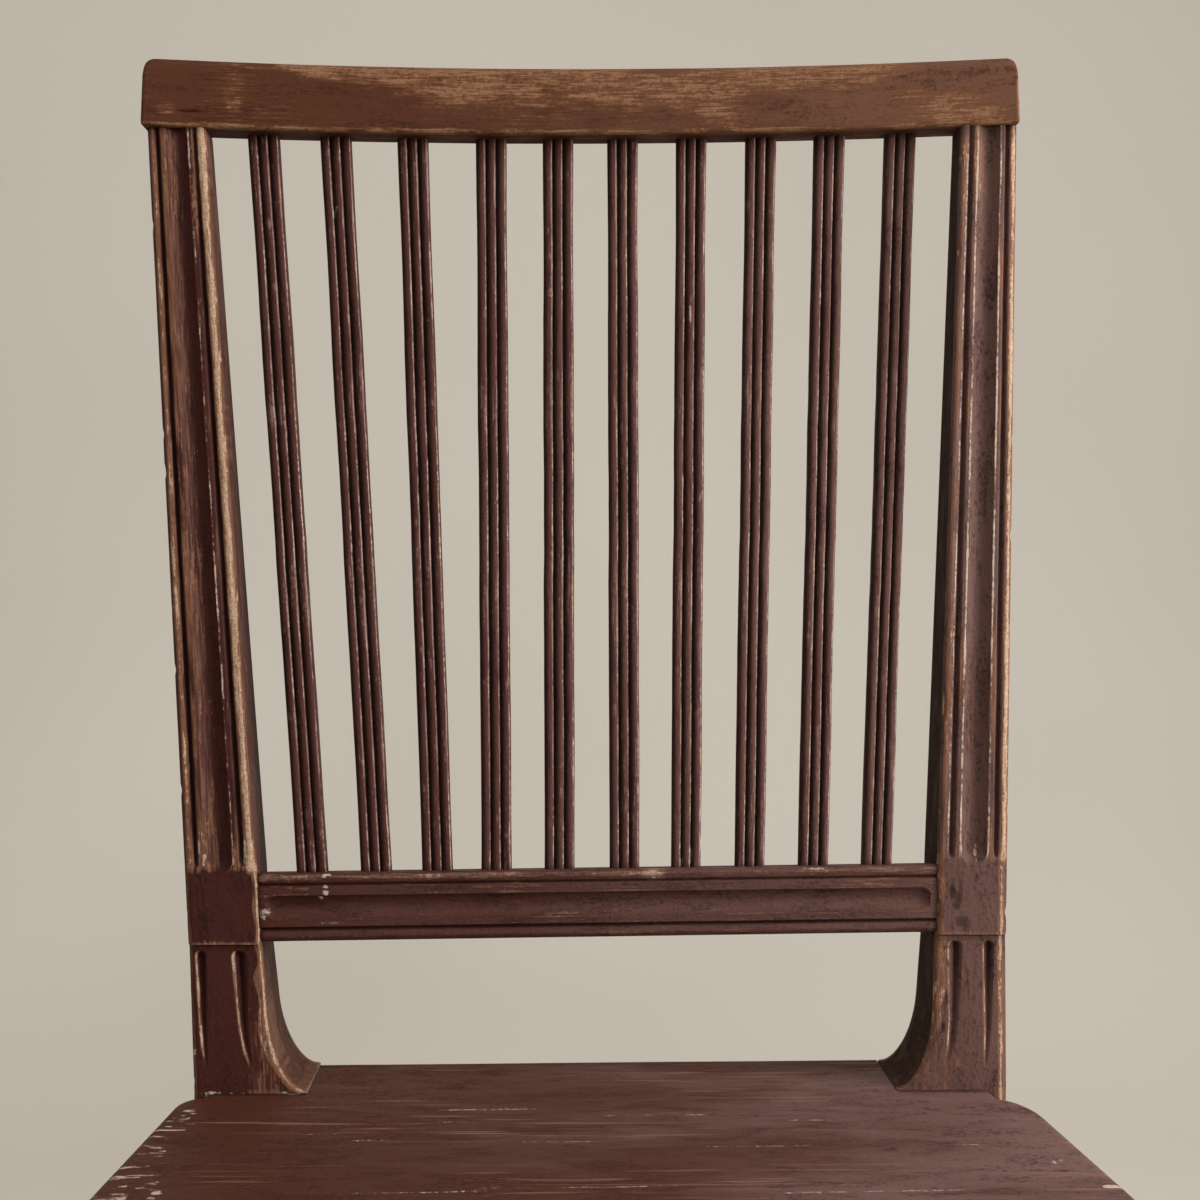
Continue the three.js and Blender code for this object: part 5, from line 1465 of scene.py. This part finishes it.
# The pieces: name, shape, paint, the node it stands for and the seed of its grain
for side in SIDES:
    name = SIDE_NAMES[side]
    for part, shape, node, seed in (
            ("post", back_post, "back_post", 4), ("leg", front_leg, "front_leg", 8),
            ("seat_rail", side_rail, "seat_rail", 12), ("stretcher", side_stretcher, "stretcher", 16)):
        piece(f"{name}_{part}_worn", shape(side), frame_paint, [f"{name}_{node}"], side + seed)
piece("crest_rail_worn", crest_rail(), crest_paint, ["crest_rail"], 20)
piece("lower_rail_worn", lower_rail(), rail_paint, ["lower_back_rail"], 21)
for index in range(len(SLAT_TOPS)):
    piece(f"reeded_slat_{index + 1}", back_slat(index), slat_paint,
          [f"back_slat_{index + 1}"], 22 + index)
piece("seat_board_worn", seat_board(), board_paint, ["seat_board"], 40)
front_ends = [leg_outer(side) - side * (LEG_BLOCK + GAP) for side in SIDES]
front_rail = across_rail(LEG_FRONT + SEAT_RAIL_RECESS, 1, front_ends)
rear_rail = across_rail(POST_SEAT_DEPTH - SEAT_RAIL_RECESS, -1, [side * NOTCH for side in SIDES])
piece("front_seat_rail_worn", front_rail, frame_paint, ["front_seat_rail"], 41)
piece("rear_seat_rail_worn", rear_rail, frame_paint, ["rear_seat_rail"], 42)
piece("cross_stretcher_worn", cross_stretcher(), frame_paint, ["cross_stretcher"], 43)
for index, node in enumerate(sorted(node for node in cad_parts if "_peg_" in node)):
    piece(node + "_end", peg_end(node), peg_paint, [node], 50 + index)
for index, node in enumerate(sorted(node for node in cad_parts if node.startswith("seat_nail_"))):
    piece(node + "_head", nail_head(node), iron, [node], 70 + index)

# Floor and backdrop: one sheet that turns up behind the chair, in metres
SHEET_HALF_WIDTH = 14.0
SHEET_NEAR = -12.0
SHEET_FAR = 2.2
SHEET_TALL = 9.0
SHEET_BEND = 1.0


def backdrop():
    profile = [(SHEET_NEAR, 0.0), (SHEET_FAR - SHEET_BEND, 0.0)]
    profile += [(SHEET_FAR - SHEET_BEND + SHEET_BEND * math.sin(turn), SHEET_BEND * (1 - math.cos(turn)))
                for turn in quarter(12, 1)]
    profile.append((SHEET_FAR, SHEET_TALL))
    places = [(x, y, z) for y, z in profile for x in (-SHEET_HALF_WIDTH, SHEET_HALF_WIDTH)]
    mesh = bpy.data.meshes.new("backdrop")
    faces = [(2 * row, 2 * row + 1, 2 * row + 3, 2 * row + 2) for row in range(len(profile) - 1)]
    mesh.from_pydata(places, [], faces)
    mesh.materials.append(ground)
    mesh.polygons.foreach_set("use_smooth", [True] * len(mesh.polygons))
    sheet = placed("backdrop", mesh)


def lamp(name, place, target, size, power):
    data = bpy.data.lights.new(name, "AREA")
    data.shape = "RECTANGLE"
    data.size, data.size_y = size
    data.energy = power
    light = placed(name, data)
    light.location = place
    light.visible_camera = False
    light.rotation_euler = (Vector(target) - Vector(place)).to_track_quat("-Z", "Y").to_euler()


# Light: a soft key close on the right, soft light from above and from the front, and a pale surround
backdrop()
lamp("key", (1.2, -0.28, 1.0), (0, 0.15, 0.64), (0.7, 1.0), 18.0)
lamp("top", (0.4, -0.7, 2.7), (0, 0.1, 0.5), (1.6, 1.6), 13)
lamp("front", (-0.3, -2.3, 1.5), (0, 0.1, 0.6), (1.6, 1.4), 7.4)
world = bpy.data.worlds.new("surround")
air = Nodes(world, "Background")
air.shade(Color=(1.0, 0.98, 0.95, 1), Strength=0.34)
view = air.add("ShaderNodeBackground", {"Color": colour("beb7a9"), "Strength": 1})
both = air.add("ShaderNodeMixShader", {0: air.seen(), 1: air.shader.outputs[0], 2: view})
air.feed(air.tree.nodes["World Output"].inputs["Surface"], both)
bpy.context.scene.world = world

# Camera at the photograph's place and angle
CAMERA_PLACE = (-23.68, -690.0, 234.54)
YAW, PITCH, ROLL = math.radians(1.74), math.radians(1.42), math.radians(0.3)
camera_data = bpy.data.cameras.new("camera")
camera_data.sensor_width = 36
camera_data.lens = 47.19
camera_data.clip_end = 30
camera = placed("camera", camera_data)
forward = Vector((math.sin(YAW) * math.cos(PITCH), math.cos(YAW) * math.cos(PITCH), -math.sin(PITCH)))
level_right = Vector((math.cos(YAW), -math.sin(YAW), 0))
level_up = level_right.cross(forward)
right = level_right * math.cos(ROLL) + level_up * math.sin(ROLL)
upward = level_up * math.cos(ROLL) - level_right * math.sin(ROLL)
camera.matrix_world = Matrix.Translation(origin + Vector(CAMERA_PLACE) * MM) @ Matrix(
    (right, upward, -forward)).transposed().to_4x4()
bpy.context.scene.camera = camera
bpy.context.scene.view_settings.view_transform = "Standard"
